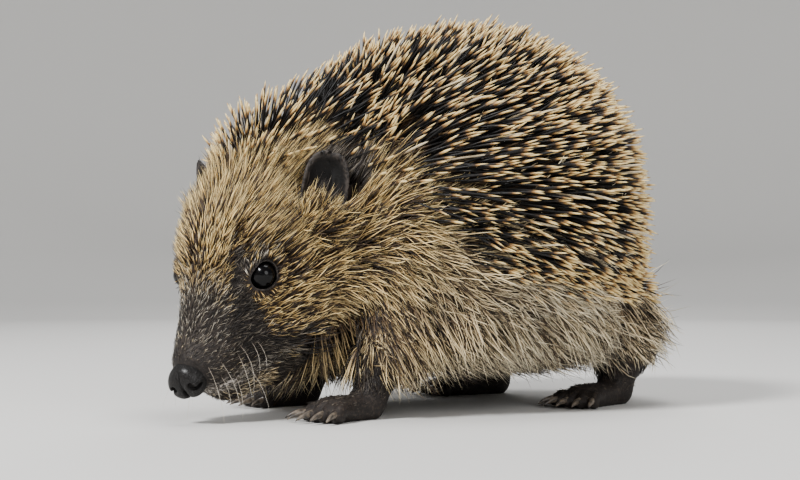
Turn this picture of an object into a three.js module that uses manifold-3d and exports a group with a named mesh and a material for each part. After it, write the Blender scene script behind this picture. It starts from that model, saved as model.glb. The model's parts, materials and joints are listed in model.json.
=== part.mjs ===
import * as THREE from "three";
import { mergeVertices } from "three/addons/utils/BufferGeometryUtils.js";
import Module from "manifold-3d";

// A European hedgehog, standing hunched on four feet with its head bent down and turned a little to its left.
// The solids are the outer envelope of the animal, out to the tips of its spines and hair.
// Millimetres: x to the animal's left, y from the nose to the tail, z up. The feet stand on z = 0.
// The animal is first worked out round its own middle, and the whole model is centred on its box at the end.

// ---------- Driving dimensions ----------
const BACK_HEIGHT = 112; // ground to the tips of the highest spines
const BODY_WIDTH = 107; // across the spines at the hips
const RUMP_REACH = 66; // from the body's middle back to the spine tips of the rump
const FRINGE_HEIGHT = 9; // ground to the hem of the belly hair
const SEAM = 0.3; // gap between two parts that touch

const HEAD_PITCH = THREE.MathUtils.degToRad(42); // snout below the horizontal
const HEAD_TURN = THREE.MathUtils.degToRad(17); // snout towards the animal's left
const SKULL_CENTRE = new THREE.Vector3(1, -58, 48);
const SKULL_TO_NOSE = 47; // from the skull's centre to the tip of the snout
const EYE_RADIUS = 3.5;
const EYE_PLACE = new THREE.Vector3(13.6, -15.2, -1.2); // left eye, in the head's own frame
const EAR_PLACE = new THREE.Vector3(20.6, 5.3, 1.1); // middle of the left ear's root, in that frame
const EAR_HEIGHT = 20;
const EAR_WIDTH = 13;
const NOSE_RADIUS = 4.6;
const NOSE_DROP = 11; // the nose below the skull's centre, square to the head's axis

const FORE_FOOT_LENGTH = 18; // palm and toes, without the claws
const FORE_TOE_LENGTH = 7.5;
const HIND_FOOT_LENGTH = 24.5;
const HIND_TOE_LENGTH = 8.5;
const FOOT_WIDTH = 12;
const FOOT_SPREAD = 23; // each foot's distance from the middle line
const ANKLE_HEIGHT = 9; // where the foot ends and the leg begins
const CLAW_LENGTH = 5;
const TAIL_LENGTH = 17;

const wasm = await Module();
wasm.setup();
const { Manifold, Mesh } = wasm;
const vec = (x, y, z) => new THREE.Vector3(x, y, z);

// ---------- Fields: negative inside a shape, positive outside, in millimetres ----------
const ellipsoid = (centre, radii) => (p) => {
  const q = p.clone().sub(centre);
  const near = q.clone().divide(radii).length();
  const slope = q.clone().divide(radii).divide(radii).length();
  return slope > 0 ? (near * (near - 1)) / slope : -Math.min(radii.x, radii.y, radii.z);
};

// A cone with round ends, from radius ra at a to rb at b.
const roundCone = (a, b, ra, rb) => (p) => {
  const axis = b.clone().sub(a);
  const along = THREE.MathUtils.clamp(p.clone().sub(a).dot(axis) / axis.lengthSq(), 0, 1);
  return p.distanceTo(a.clone().lerp(b, along)) - THREE.MathUtils.lerp(ra, rb, along);
};

// Union of two fields with a fillet of about `width`.
const blend = (one, other, width) => {
  const near = Math.max(width - Math.abs(one - other), 0) / width;
  return Math.min(one, other) - (near * near * width) / 4;
};
const blendAll = (fields, width) => (p) => fields.map((f) => f(p)).reduce((a, b) => blend(a, b, width));
const inflate = (field, by) => (p) => field(p) - by;

// ---------- Solids ----------
// A geometry with nothing but its positions, each shared by the faces that meet there.
function bare(geometry) {
  const copy = geometry.clone();
  copy.deleteAttribute("normal");
  copy.deleteAttribute("uv");
  return mergeVertices(copy, 1e-4);
}

// A closed three.js geometry as a manifold solid, moved by a matrix.
function solidOf(geometry, matrix = new THREE.Matrix4()) {
  const merged = bare(geometry).applyMatrix4(matrix);
  return new Manifold(
    new Mesh({
      numProp: 3,
      vertProperties: merged.getAttribute("position").array,
      triVerts: new Uint32Array(merged.index.array),
    }),
  );
}

function geometryOf(solid) {
  const { numProp, vertProperties, triVerts } = solid.getMesh();
  const count = vertProperties.length / numProp;
  const position = new Float32Array(count * 3);
  for (let i = 0; i < count; i++) {
    position.set(vertProperties.subarray(i * numProp, i * numProp + 3), i * 3);
  }
  const geometry = new THREE.BufferGeometry();
  geometry.setAttribute("position", new THREE.BufferAttribute(position, 3));
  geometry.setIndex(new THREE.BufferAttribute(new Uint32Array(triVerts), 1));
  geometry.computeVertexNormals();
  return geometry;
}

// The surface of a field as seen from a point inside it: a ball whose points move out until the field ends.
function starSolid(centre, field, detail, reach = 120) {
  const ball = bare(new THREE.IcosahedronGeometry(1, detail));
  const position = ball.getAttribute("position");
  const direction = new THREE.Vector3();
  const at = (r) => field(centre.clone().addScaledVector(direction, r));
  for (let i = 0; i < position.count; i++) {
    direction.fromBufferAttribute(position, i).normalize();
    let [inside, outside] = [0, 1];
    while (outside < reach && at(outside) < 0) {
      inside = outside;
      outside += 1;
    }
    for (let step = 0; step < 16; step++) {
      const middle = (inside + outside) / 2;
      if (at(middle) < 0) inside = middle;
      else outside = middle;
    }
    const p = centre.clone().addScaledVector(direction, inside);
    position.setXYZ(i, p.x, p.y, p.z);
  }
  return solidOf(ball);
}

// A closed tube along points, whose radius follows the list `radii` and which ends in round tips.
function taperedTube(points, radii, sides, steps) {
  const curve = new THREE.CatmullRomCurve3(points);
  const frames = curve.computeFrenetFrames(steps);
  const vertices = [];
  const faces = [];
  const radiusAt = (t) => {
    const place = t * (radii.length - 1);
    const left = Math.min(Math.floor(place), radii.length - 2);
    return THREE.MathUtils.lerp(radii[left], radii[left + 1], place - left);
  };
  for (let i = 0; i <= steps; i++) {
    const centre = curve.getPointAt(i / steps);
    for (let j = 0; j < sides; j++) {
      const angle = (2 * Math.PI * j) / sides;
      vertices.push(
        centre
          .clone()
          .addScaledVector(frames.normals[i], Math.cos(angle) * radiusAt(i / steps))
          .addScaledVector(frames.binormals[i], Math.sin(angle) * radiusAt(i / steps)),
      );
      if (i === steps) continue;
      const [a, b] = [i * sides + j, i * sides + ((j + 1) % sides)];
      faces.push(a, b, b + sides, a, b + sides, a + sides);
    }
  }
  const capRise = 0.6; // how far a round end stands out, as a share of its radius
  const start = curve.getPointAt(0).addScaledVector(frames.tangents[0], -capRise * radii[0]);
  const end = curve.getPointAt(1).addScaledVector(frames.tangents[steps], capRise * radii.at(-1));
  const ends = [
    [start, 0, true],
    [end, steps * sides, false],
  ];
  for (const [tip, first, turned] of ends) {
    const apex = vertices.push(tip) - 1;
    for (let j = 0; j < sides; j++) {
      const [a, b] = [first + j, first + ((j + 1) % sides)];
      faces.push(...(turned ? [apex, b, a] : [apex, a, b]));
    }
  }
  const geometry = new THREE.BufferGeometry().setFromPoints(vertices);
  geometry.setIndex(faces);
  return solidOf(geometry);
}

// Everything in front of the plane through `point` that faces `normal`.
function halfSpace(point, normal) {
  const size = 400;
  const turn = new THREE.Quaternion().setFromUnitVectors(vec(0, 0, 1), normal.clone().normalize());
  const matrix = new THREE.Matrix4().compose(point, turn, vec(1, 1, 1));
  return solidOf(new THREE.BoxGeometry(size, size, size).translate(0, 0, size / 2), matrix);
}

// A side-view outline in the y-z plane of a frame, carried right across it.
function sideExtrusion(outline, frame = new THREE.Matrix4()) {
  const depth = 300;
  const turn = new THREE.Matrix4().makeBasis(vec(0, 1, 0), vec(0, 0, 1), vec(1, 0, 0));
  const geometry = new THREE.ExtrudeGeometry(outline, { depth, bevelEnabled: false, curveSegments: 10 });
  return solidOf(geometry.translate(0, 0, -depth / 2), frame.clone().multiply(turn));
}

// ---------- Head frame: same axes as the body's, with the skull's centre as origin ----------
const headPose = new THREE.Matrix4()
  .makeTranslation(SKULL_CENTRE)
  .multiply(new THREE.Matrix4().makeRotationZ(HEAD_TURN))
  .multiply(new THREE.Matrix4().makeRotationX(HEAD_PITCH));
const headInverse = headPose.clone().invert();
const inHead = (field) => (p) => field(p.clone().applyMatrix4(headInverse));
const fromHead = (x, y, z) => vec(x, y, z).applyMatrix4(headPose);
const headDirection = (x, y, z) => vec(x, y, z).transformDirection(headPose);

// ---------- The animal's envelope ----------
const RUMP_CENTRE = vec(0, 18, BACK_HEIGHT / 2);
const mantle = blendAll(
  [
    ellipsoid(RUMP_CENTRE, vec(BODY_WIDTH / 2, RUMP_REACH - RUMP_CENTRE.y, BACK_HEIGHT / 2)),
    ellipsoid(vec(0, -9, 53), vec(BODY_WIDTH * 0.43, 41, 53)), // shoulders
    ellipsoid(vec(-1, -42, 66), vec(22, 29, 24)), // spiny hood over the crown
    ellipsoid(vec(0, 40, 33), vec(31, 31.5, 22)), // long hair over the tail
  ],
  14,
);
const neck = blendAll(
  [
    roundCone(vec(0, -30, 45), SKULL_CENTRE.clone().add(vec(0, 8, -4)), 30, 21),
    ellipsoid(vec(4, -52, 25), vec(16, 18, 16)), // chest hair under the chin
  ],
  10,
);
// Height of the belly hair's hem: lowest amidships, higher between the forelegs and before the hind ones.
const hemHeight = (y) =>
  FRINGE_HEIGHT + 4 * THREE.MathUtils.smoothstep(-y, 18, 34) + 9 * THREE.MathUtils.smoothstep(y, 20, 52);
const skull = inHead(
  blendAll(
    [
      ellipsoid(vec(0, 0, 0), vec(18, 24, 19)),
      ellipsoid(vec(8, -2, -9), vec(12, 17, 12)), // left cheek
      ellipsoid(vec(-8, -2, -9), vec(12, 17, 12)), // right cheek
      ellipsoid(vec(1, -10, -25), vec(13, 17, 15)), // throat
    ],
    8,
  ),
);
const snout = blendAll(
  [
    inHead(roundCone(vec(0, -12, -4), vec(1, -SKULL_TO_NOSE + 10, -NOSE_DROP + 1), 15, 6.5)),
    inHead(ellipsoid(vec(4.5, -30, -14), vec(6, 11, 8))), // left whisker pad
    inHead(ellipsoid(vec(-3.5, -30, -14), vec(6, 11, 8))), // right whisker pad
    inHead(ellipsoid(vec(0.5, -26, -21), vec(8, 13, 8.5))), // lower jaw
  ],
  5,
);

// The coat is parted round each ear.
const earHollows = inHead((p) =>
  Math.min(...[1, -1].map((side) => ellipsoid(vec(side * 31, 8, 6.5), vec(11, 10, 12))(p))),
);

function animal(p) {
  const body = -blend(-blend(mantle(p), neck(p), 12), p.z - hemHeight(p.y), 10);
  const whole = blend(blend(body, skull(p), 7), snout(p), 6);
  return -blend(-whole, earHollows(p), 4);
}

const TRUNK_CENTRE = vec(0, 2, 50);
const HEAD_CENTRE = fromHead(0, 2, -4);
const SNOUT_CENTRE = fromHead(0, -28, -5);
const envelope = (grown, detail) => ({
  trunk: starSolid(TRUNK_CENTRE, inflate(animal, grown), detail),
  head: starSolid(HEAD_CENTRE, inflate(animal, grown), detail - 1),
  snout: starSolid(SNOUT_CENTRE, inflate(animal, grown), detail - 1),
});
const body = envelope(0, 7);

// Side view of the line where the spines end and the hair begins, with everything above it.
function spineLine(drop = 0) {
  const outline = new THREE.Shape();
  outline.moveTo(-120, 73 - drop);
  outline.splineThru(
    [
      [-66, 70],
      [-44, 52],
      [-15, 40],
      [30, 30],
      [90, 27],
    ].map(([y, z]) => new THREE.Vector2(y, z - drop)),
  );
  outline.lineTo(90, 200);
  outline.lineTo(-120, 200);
  return sideExtrusion(outline);
}

const shoulderCut = [vec(0, -33, 34), vec(0.1, -1, -0.2)];
const neckCut = [vec(0, -46, 40), vec(0.2, -1, -0.12)];
const muzzleCut = [fromHead(0, -17.5, 0), headDirection(0, -1, 0)];
const ahead = ([point, normal]) => halfSpace(point, normal);
const behind = ([point, normal]) => {
  const facing = normal.clone().normalize();
  return halfSpace(point.clone().addScaledVector(facing, -SEAM), facing.negate());
};
const jawWedge = (drop) => {
  const outline = new THREE.Shape(
    [
      [-70, -16],
      [-37, -16.5],
      [-24, -21],
      [-10, -48],
      [-70, -48],
    ].map(([y, z]) => new THREE.Vector2(y - drop, z - drop)),
  );
  return sideExtrusion(outline, headPose);
};

const eyeCentre = (side) => fromHead(side * EYE_PLACE.x, EYE_PLACE.y, EYE_PLACE.z);
const ball = (centre, radius, detail) =>
  solidOf(new THREE.IcosahedronGeometry(radius, detail), new THREE.Matrix4().makeTranslation(centre));
const eyeSockets = ball(eyeCentre(1), EYE_RADIUS + SEAM, 2).add(ball(eyeCentre(-1), EYE_RADIUS + SEAM, 2));

const trunkBehind = body.trunk.intersect(behind(neckCut));
const underSpines = trunkBehind.subtract(spineLine());
const headAhead = body.head.intersect(ahead(neckCut));
const muzzle = body.snout.intersect(ahead(muzzleCut));

// Everything that the body fills, a seam's width larger: what is set on the body is cut back to this.
const grown = envelope(SEAM, 7);
const clearOfBody = grown.trunk
  .intersect(behind(neckCut))
  .add(grown.head.intersect(ahead(neckCut)))
  .add(grown.snout.intersect(ahead(muzzleCut)));

// ---------- Ears ----------
function ear(side) {
  const up = headDirection(side * 0.22, Math.sin(HEAD_PITCH), Math.cos(HEAD_PITCH));
  const opening = headDirection(side * 0.8, -0.5, 0.35);
  const across = new THREE.Vector3().crossVectors(opening, up).normalize();
  const out = new THREE.Vector3().crossVectors(up, across).normalize();
  const root = fromHead(side * EAR_PLACE.x, EAR_PLACE.y, EAR_PLACE.z);
  const frame = new THREE.Matrix4().makeBasis(across, out, up).setPosition(root);
  const rise = EAR_HEIGHT / 2;
  const paddle = new THREE.IcosahedronGeometry(1, 3);
  paddle.scale(EAR_WIDTH / 2, 3.4, rise).translate(0, 0, rise * 0.6);
  const bowl = new THREE.IcosahedronGeometry(1, 2);
  bowl.scale(EAR_WIDTH * 0.38, 2.6, rise * 0.8).translate(0, 2.8, rise * 0.66);
  return solidOf(paddle, frame).subtract(solidOf(bowl, frame)).subtract(clearOfBody);
}

// ---------- Nose ----------
function nosePad() {
  const frame = headPose
    .clone()
    .multiply(new THREE.Matrix4().makeTranslation(1.2, -SKULL_TO_NOSE + NOSE_RADIUS, -NOSE_DROP))
    .multiply(new THREE.Matrix4().makeRotationZ(0.3)); // the tip turns a little further to the left
  const pad = new THREE.IcosahedronGeometry(1, 3).scale(NOSE_RADIUS, NOSE_RADIUS, NOSE_RADIUS * 0.95);
  let nose = solidOf(pad, frame);
  for (const side of [1, -1]) {
    const nostril = new THREE.IcosahedronGeometry(1, 1).scale(0.9, 1.6, 1.2);
    nose = nose.subtract(solidOf(nostril.translate(side * 3.3, -3.4, -0.3), frame));
  }
  return nose.subtract(grown.snout);
}

// ---------- Legs and feet ----------
// A paw in its own frame: the ankle above the origin, the toes towards -y, the sole on z = 0.
function paw(length, width, toeLength) {
  const palmLength = length - toeLength;
  const palm = roundCone(vec(0, 0, 4), vec(0, -palmLength, 2.4), width * 0.42, width * 0.5);
  const flattened = (p) => Math.max(palm(p), p.z - 7);
  let solid = starSolid(vec(0, -palmLength * 0.5, 3), flattened, 2, 40);
  const toes = 5;
  for (let i = 0; i < toes; i++) {
    const place = (i / (toes - 1)) * 2 - 1; // -1 at one edge of the foot, +1 at the other
    const fan = place * 0.42;
    const reach = toeLength * (1 - 0.28 * place * place);
    const root = vec(place * width * 0.36, -palmLength, 2.6);
    const out = vec(Math.sin(fan), -Math.cos(fan), 0);
    const along = (distance, z) => root.clone().addScaledVector(out, distance).setZ(z);
    const joints = [along(-2, 2.6), along(reach * 0.5, 3.0), along(reach, 1.7)];
    const toe = taperedTube(joints, [1.9, 1.8, 1.5], 5, 2);
    const claw = taperedTube(
      [along(reach - 0.6, 2.3), along(reach + CLAW_LENGTH * 0.5, 2.6), along(reach + CLAW_LENGTH, 0.7)],
      [1.0, 0.75, 0.3],
      4,
      2,
    );
    solid = solid.add(toe).add(claw);
  }
  return solid;
}

const feet = {
  fore_left: { x: FOOT_SPREAD - 1, y: -36, turn: 0.1, kind: "fore" },
  fore_right: { x: -FOOT_SPREAD, y: -28, turn: -0.12, kind: "fore" },
  hind_left: { x: FOOT_SPREAD + 2, y: 49, turn: 0.2, kind: "hind" },
  hind_right: { x: -FOOT_SPREAD - 2, y: 44, turn: -0.22, kind: "hind" },
};
const pawShape = {
  fore: paw(FORE_FOOT_LENGTH, FOOT_WIDTH, FORE_TOE_LENGTH),
  hind: paw(HIND_FOOT_LENGTH, FOOT_WIDTH, HIND_TOE_LENGTH),
};

// A whole limb, from inside the body down to the sole, standing in its place.
function limb({ x, y, turn, kind }) {
  const inward = Math.sign(x);
  const top = kind === "fore" ? vec(x - inward * 3, y + 10, 28) : vec(x - inward * 2, y - 4, 30);
  const knee = kind === "fore" ? vec(x, y + 6, 16) : vec(x + inward, y + 1, 16);
  const ankle = vec(x, y + (kind === "fore" ? 0 : -1), 4);
  const radii = kind === "fore" ? [9, 6.8, 4.6] : [12, 8.5, 5];
  const place = new THREE.Matrix4().makeRotationZ(turn).setPosition(x, y, 0);
  const placed = pawShape[kind].transform(place.toArray());
  return taperedTube([top, knee, ankle], radii, 12, 6)
    .add(placed)
    .intersect(halfSpace(vec(0, 0, 0), vec(0, 0, 1)))
    .subtract(clearOfBody);
}

// ---------- Tail ----------
function tail() {
  const root = vec(0, RUMP_REACH - 12, 27);
  const tip = root.clone().add(vec(0, TAIL_LENGTH, -9));
  const middle = root.clone().lerp(tip, 0.5).add(vec(0, 1, 1));
  return taperedTube([root, middle, tip], [5.5, 4.2, 1.6], 10, 5).subtract(clearOfBody);
}

// ---------- Materials and scene graph ----------
const material = (color, roughness, metalness = 0) =>
  new THREE.MeshStandardMaterial({ color, roughness, metalness });
const finishes = {
  spines: material("#6b5a42", 0.6),
  hair: material("#a58a5f", 0.85),
  face: material("#6d6152", 0.85),
  ear: material("#3b332d", 0.75),
  nose: material("#1b1817", 0.3),
  eye: material("#0b0d12", 0.05),
  foot: material("#4a423b", 0.75),
};

const model = new THREE.Group();
function addPart(name, solid, finish) {
  // The mesh's own origin is the middle of the part.
  const geometry = geometryOf(solid);
  geometry.computeBoundingBox();
  const middle = geometry.boundingBox.getCenter(new THREE.Vector3());
  geometry.translate(-middle.x, -middle.y, -middle.z);
  const mesh = new THREE.Mesh(geometry, finishes[finish]);
  mesh.name = name;
  mesh.position.copy(middle);
  model.add(mesh);
}

addPart("back", trunkBehind.intersect(spineLine(-SEAM)), "spines");
addPart("crown", headAhead.intersect(spineLine(-SEAM)), "spines");
addPart("trunk", underSpines.intersect(behind(shoulderCut)), "hair");
addPart("neck", underSpines.intersect(ahead(shoulderCut)), "hair");
addPart("head", headAhead.subtract(spineLine()).intersect(behind(muzzleCut)).subtract(eyeSockets), "face");
addPart("muzzle", muzzle.subtract(jawWedge(0)).subtract(eyeSockets), "face");
addPart("jaw", muzzle.intersect(jawWedge(SEAM)), "face");
addPart("nose", nosePad(), "nose");
addPart("tail", tail(), "hair");
for (const [name, side] of [
  ["left", 1],
  ["right", -1],
]) {
  addPart("eye_" + name, ball(eyeCentre(side), EYE_RADIUS, 2), "eye");
  addPart("ear_" + name, ear(side), "ear");
}
for (const [name, place] of Object.entries(feet)) {
  const whole = limb(place);
  addPart("leg_" + name, whole.intersect(halfSpace(vec(0, 0, ANKLE_HEIGHT + SEAM), vec(0, 0, 1))), "foot");
  addPart("foot_" + name, whole.subtract(halfSpace(vec(0, 0, ANKLE_HEIGHT), vec(0, 0, 1))), "foot");
}

const box = new THREE.Box3().setFromObject(model, true);
const middle = box.getCenter(new THREE.Vector3());
model.position.set(-middle.x, -middle.y, -box.min.z);

export default model;
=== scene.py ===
"""A still, life-size European hedgehog, standing hunched with its head bent to the ground.

The frame's solids reach out to the tips of the spines and hair. This script works out the same
envelope, lays one skin inside it by the depth of the coat, and grows spines, hair and whiskers
from that skin. Shapes are in millimetres round the animal's own middle, and are moved into the
frame when a mesh is made. Points are rows of an array, except in fields, which take x, y and z
as three rows and are negative inside a form.
"""

import json
import math
from concurrent.futures import ThreadPoolExecutor
from functools import reduce

import bpy
import numpy as np
from mathutils import Vector
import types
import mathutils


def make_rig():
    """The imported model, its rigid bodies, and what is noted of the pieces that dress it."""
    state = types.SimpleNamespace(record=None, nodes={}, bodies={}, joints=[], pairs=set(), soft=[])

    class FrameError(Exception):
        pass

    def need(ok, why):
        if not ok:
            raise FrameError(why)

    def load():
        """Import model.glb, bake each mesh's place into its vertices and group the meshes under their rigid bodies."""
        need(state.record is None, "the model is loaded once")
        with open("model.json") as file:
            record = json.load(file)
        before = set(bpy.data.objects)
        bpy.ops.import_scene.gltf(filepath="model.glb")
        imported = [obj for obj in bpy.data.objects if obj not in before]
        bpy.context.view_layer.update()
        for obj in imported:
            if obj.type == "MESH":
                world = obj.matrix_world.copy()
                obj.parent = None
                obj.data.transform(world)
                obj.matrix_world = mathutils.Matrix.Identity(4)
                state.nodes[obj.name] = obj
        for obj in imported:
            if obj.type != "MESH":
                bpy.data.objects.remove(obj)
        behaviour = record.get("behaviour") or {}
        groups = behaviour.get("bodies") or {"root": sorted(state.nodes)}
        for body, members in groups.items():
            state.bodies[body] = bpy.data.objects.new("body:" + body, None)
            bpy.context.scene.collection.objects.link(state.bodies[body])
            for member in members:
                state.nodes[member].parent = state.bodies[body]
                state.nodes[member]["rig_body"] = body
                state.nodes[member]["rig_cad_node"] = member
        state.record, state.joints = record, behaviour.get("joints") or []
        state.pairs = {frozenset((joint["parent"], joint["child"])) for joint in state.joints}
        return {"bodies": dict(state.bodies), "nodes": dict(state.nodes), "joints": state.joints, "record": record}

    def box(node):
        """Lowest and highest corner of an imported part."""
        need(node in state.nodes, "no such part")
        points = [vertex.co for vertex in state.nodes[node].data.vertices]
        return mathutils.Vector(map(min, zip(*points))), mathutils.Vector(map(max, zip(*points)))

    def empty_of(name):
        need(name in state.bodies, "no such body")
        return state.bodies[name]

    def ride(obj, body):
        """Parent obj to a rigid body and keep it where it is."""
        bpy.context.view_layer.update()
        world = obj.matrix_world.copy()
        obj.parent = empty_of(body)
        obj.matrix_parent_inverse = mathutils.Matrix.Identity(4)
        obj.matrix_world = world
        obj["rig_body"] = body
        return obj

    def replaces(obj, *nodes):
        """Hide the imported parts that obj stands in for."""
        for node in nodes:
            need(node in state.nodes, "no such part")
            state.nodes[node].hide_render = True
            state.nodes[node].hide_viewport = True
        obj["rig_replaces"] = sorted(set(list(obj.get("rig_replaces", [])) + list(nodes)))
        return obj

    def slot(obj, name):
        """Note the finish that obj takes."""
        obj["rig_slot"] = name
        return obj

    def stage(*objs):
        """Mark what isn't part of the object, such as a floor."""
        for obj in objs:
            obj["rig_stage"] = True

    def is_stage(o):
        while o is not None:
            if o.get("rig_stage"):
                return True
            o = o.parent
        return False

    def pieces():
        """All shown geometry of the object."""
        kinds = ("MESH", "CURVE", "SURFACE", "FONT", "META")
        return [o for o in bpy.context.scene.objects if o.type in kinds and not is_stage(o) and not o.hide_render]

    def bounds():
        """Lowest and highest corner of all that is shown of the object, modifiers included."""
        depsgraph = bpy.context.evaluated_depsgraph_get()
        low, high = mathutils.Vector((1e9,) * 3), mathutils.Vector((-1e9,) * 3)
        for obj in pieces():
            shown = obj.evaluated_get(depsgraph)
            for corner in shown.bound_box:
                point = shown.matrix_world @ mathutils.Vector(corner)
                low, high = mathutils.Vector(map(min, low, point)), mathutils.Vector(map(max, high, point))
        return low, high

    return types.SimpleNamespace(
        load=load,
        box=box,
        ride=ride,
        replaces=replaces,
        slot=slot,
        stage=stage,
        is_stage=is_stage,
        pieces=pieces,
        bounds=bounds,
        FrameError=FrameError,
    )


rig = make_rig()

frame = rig.load()
cad_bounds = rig.bounds()

MM = 1000.0
SIDES = (("left", 1), ("right", -1))
rng = np.random.default_rng(20240917)

# ---- driving dimensions, in mm
BACK_HEIGHT = 112.0
BODY_WIDTH = 107.0
RUMP_REACH = 66.0
RUMP_HAIR_END = 75.0
FRINGE_HEIGHT = 9.0

HEAD_PITCH = math.radians(42)
HEAD_TURN = math.radians(17)
SKULL_CENTRE = np.array([1.0, -58.0, 48.0])
SKULL_TO_NOSE = 47.0
NOSE_DROP = 11.0
NOSE_RADIUS = 4.6
EYE_RADIUS = 3.5
EYE_PLACE = np.array([13.6, -15.2, -1.2])
EYE_FACING = np.array([0.86, -0.40, 0.30])
EYE_OPENING = (3.3, 3.1)  # half the width and half the height of the lids' opening
EAR_PLACE = np.array([20.6, 5.3, 1.1])
EAR_HEIGHT = 20.0
EAR_WIDTH = 13.0
EAR_WALL = 0.55  # half the thickness

FORE_FOOT = dict(length=18.0, toe=7.5)
HIND_FOOT = dict(length=24.5, toe=8.5)
FOOT_WIDTH = 12.0
FOOT_SPREAD = 23.0
TOE_FAN = 0.42
CLAW_LENGTH = 5.0
FEET = {
    "fore_left": dict(x=FOOT_SPREAD - 1, y=-36.0, turn=0.10, **FORE_FOOT),
    "fore_right": dict(x=-FOOT_SPREAD, y=-28.0, turn=-0.12, **FORE_FOOT),
    "hind_left": dict(x=FOOT_SPREAD + 2, y=49.0, turn=0.20, **HIND_FOOT),
    "hind_right": dict(x=-FOOT_SPREAD - 2, y=44.0, turn=-0.22, **HIND_FOOT),
}

# Centres and radii of the ellipsoids that make up the coat's envelope.
MANTLE = (
    ((0, 18, BACK_HEIGHT / 2), (BODY_WIDTH / 2, RUMP_REACH - 18, BACK_HEIGHT / 2)),
    ((0, -9, 53), (BODY_WIDTH * 0.43, 41, 53)),
    ((-1, -42, 66), (22, 29, 24)),
    ((0, 40, 33), (31, 31.5, 22)),
)
SKULL = (  # the skull and the snout are in the head's frame
    ((0, 0, 0), (18, 24, 19)),
    ((8, -2, -9), (12, 17, 12)),
    ((-8, -2, -9), (12, 17, 12)),
    ((1, -10, -25), (13, 17, 15)),
)
SNOUT = (
    ((4.5, -30, -14), (6, 11, 8)),
    ((-3.5, -30, -14), (6, 11, 8)),
    ((0.5, -26, -21), (8, 13, 8.5)),
)
SPINE_LINE = ((-80, 66), (-66, 67), (-56, 70), (-48, 70), (-36, 59), (-15, 42), (30, 34), (90, 31))  # y, z
FACE_DEPTH = ((-12, 7.5), (0, 5.2), (12, 3.2), (20, 2.0), (30, 1.3), (40, 0.8), (50, 0.5))  # ahead, depth
MOUTH = ((-44, -15.2), (-37, -16.6), (-30, -18.4), (-24, -20.6), (-20, -21.6))  # y, z in the head's frame


# ---- frames and directions
def rotation_z(angle):
    c, s = math.cos(angle), math.sin(angle)
    return np.array([[c, -s, 0], [s, c, 0], [0, 0, 1]])


def rotation_x(angle):
    c, s = math.cos(angle), math.sin(angle)
    return np.array([[1, 0, 0], [0, c, -s], [0, s, c]])


HEAD_TURNED = rotation_z(HEAD_TURN) @ rotation_x(HEAD_PITCH)
NOSE_TURNED = HEAD_TURNED @ rotation_z(0.3)


def from_head(q):
    return SKULL_CENTRE + np.asarray(q, float) @ HEAD_TURNED.T


def to_head(p):
    return (p - SKULL_CENTRE) @ HEAD_TURNED


def rows_to_head(p):
    return HEAD_TURNED.T.astype(np.float32) @ (p - column(SKULL_CENTRE))


def head_direction(v):
    v = np.asarray(v, float) @ HEAD_TURNED.T
    return v / np.linalg.norm(v)


def column(v):
    return np.asarray(v, np.float32)[:, None]


def unit(v):
    return v / np.maximum(np.linalg.norm(v, axis=-1, keepdims=True), 1e-9)


def mirrored(v, side):
    return np.array([side * v[0], v[1], v[2]])


EYES = {name: from_head(mirrored(EYE_PLACE, side)) for name, side in SIDES}
NOSE_MIDDLE = from_head((1.2, -SKULL_TO_NOSE + NOSE_RADIUS, -NOSE_DROP))
SHIFT = sum(np.array(corner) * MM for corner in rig.box("eye_left")) / 2 - EYES["left"]


# ---- fields
def norm(rows):
    return np.sqrt(rows[0] * rows[0] + rows[1] * rows[1] + rows[2] * rows[2])


def ellipsoid(p, centre, radii):
    q = (p - column(centre)) / column(radii)
    near = norm(q)
    return near * (near - 1) / np.maximum(norm(q / column(radii)), 1e-6)


def cone(p, a, b, ra, rb):
    """A cone with round ends, from radius ra at a to rb at b."""
    axis = column(b) - column(a)
    from_a = p - column(a)
    along = np.clip((axis / (axis * axis).sum() * from_a).sum(0), 0, 1)
    return norm(from_a - along * axis) - (ra + (rb - ra) * along)


def blend(one, other, width):
    """Union of two fields with a fillet of about `width`."""
    near = np.maximum(width - np.abs(one - other), 0) / width
    return np.minimum(one, other) - near * near * width / 4


def blend_all(fields, width):
    return reduce(lambda whole, field: blend(whole, field, width), fields)


def carve(body, tool, width):
    """The body with the tool's form taken out of it, and the edge rounded."""
    return -blend(-body, tool, width)


def smooth(x, low, high):
    """0 below low, 1 above high, smooth between."""
    t = np.clip((x - low) / (high - low), 0, 1)
    return t * t * (3 - 2 * t)


def at(x, stops):
    """The value at x of a line through the stops, each (x, value)."""
    return np.interp(x, *zip(*stops))


def hem_height(y):
    """Height of the coat's lower edge."""
    return FRINGE_HEIGHT + 4 * smooth(-y, 18, 34) + 9 * smooth(y, 20, 52)


def coat_field(p):
    """The envelope of the trunk and head out to the tips of the coat."""
    q = rows_to_head(p)
    nape = cone(p, (0, -30, 45), SKULL_CENTRE + (0, 8, -4), 30, 21)
    neck = blend(nape, ellipsoid(p, (4, -52, 25), (16, 18, 16)), 10)
    mantle = blend_all([ellipsoid(p, *form) for form in MANTLE], 14)
    body = carve(blend(mantle, neck, 12), p[2] - hem_height(p[1]), 10)
    skull = blend_all([ellipsoid(q, *form) for form in SKULL], 8)
    bridge = cone(q, (0, -12, -4), (1, -SKULL_TO_NOSE + 10, -NOSE_DROP + 1), 15, 6.5)
    snout = blend_all([bridge] + [ellipsoid(q, *form) for form in SNOUT], 5)
    return blend(blend(body, skull, 7), snout, 6)


def above_spine_line(p, width):
    """1 where spines grow, 0 where hair does."""
    return smooth(p[2] - at(p[1], SPINE_LINE), -width / 2, width / 2)


def on_head(p):
    """0 on the trunk, 1 on the head."""
    return smooth(0.2 * p[0] - p[1], 40, 54)


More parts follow.
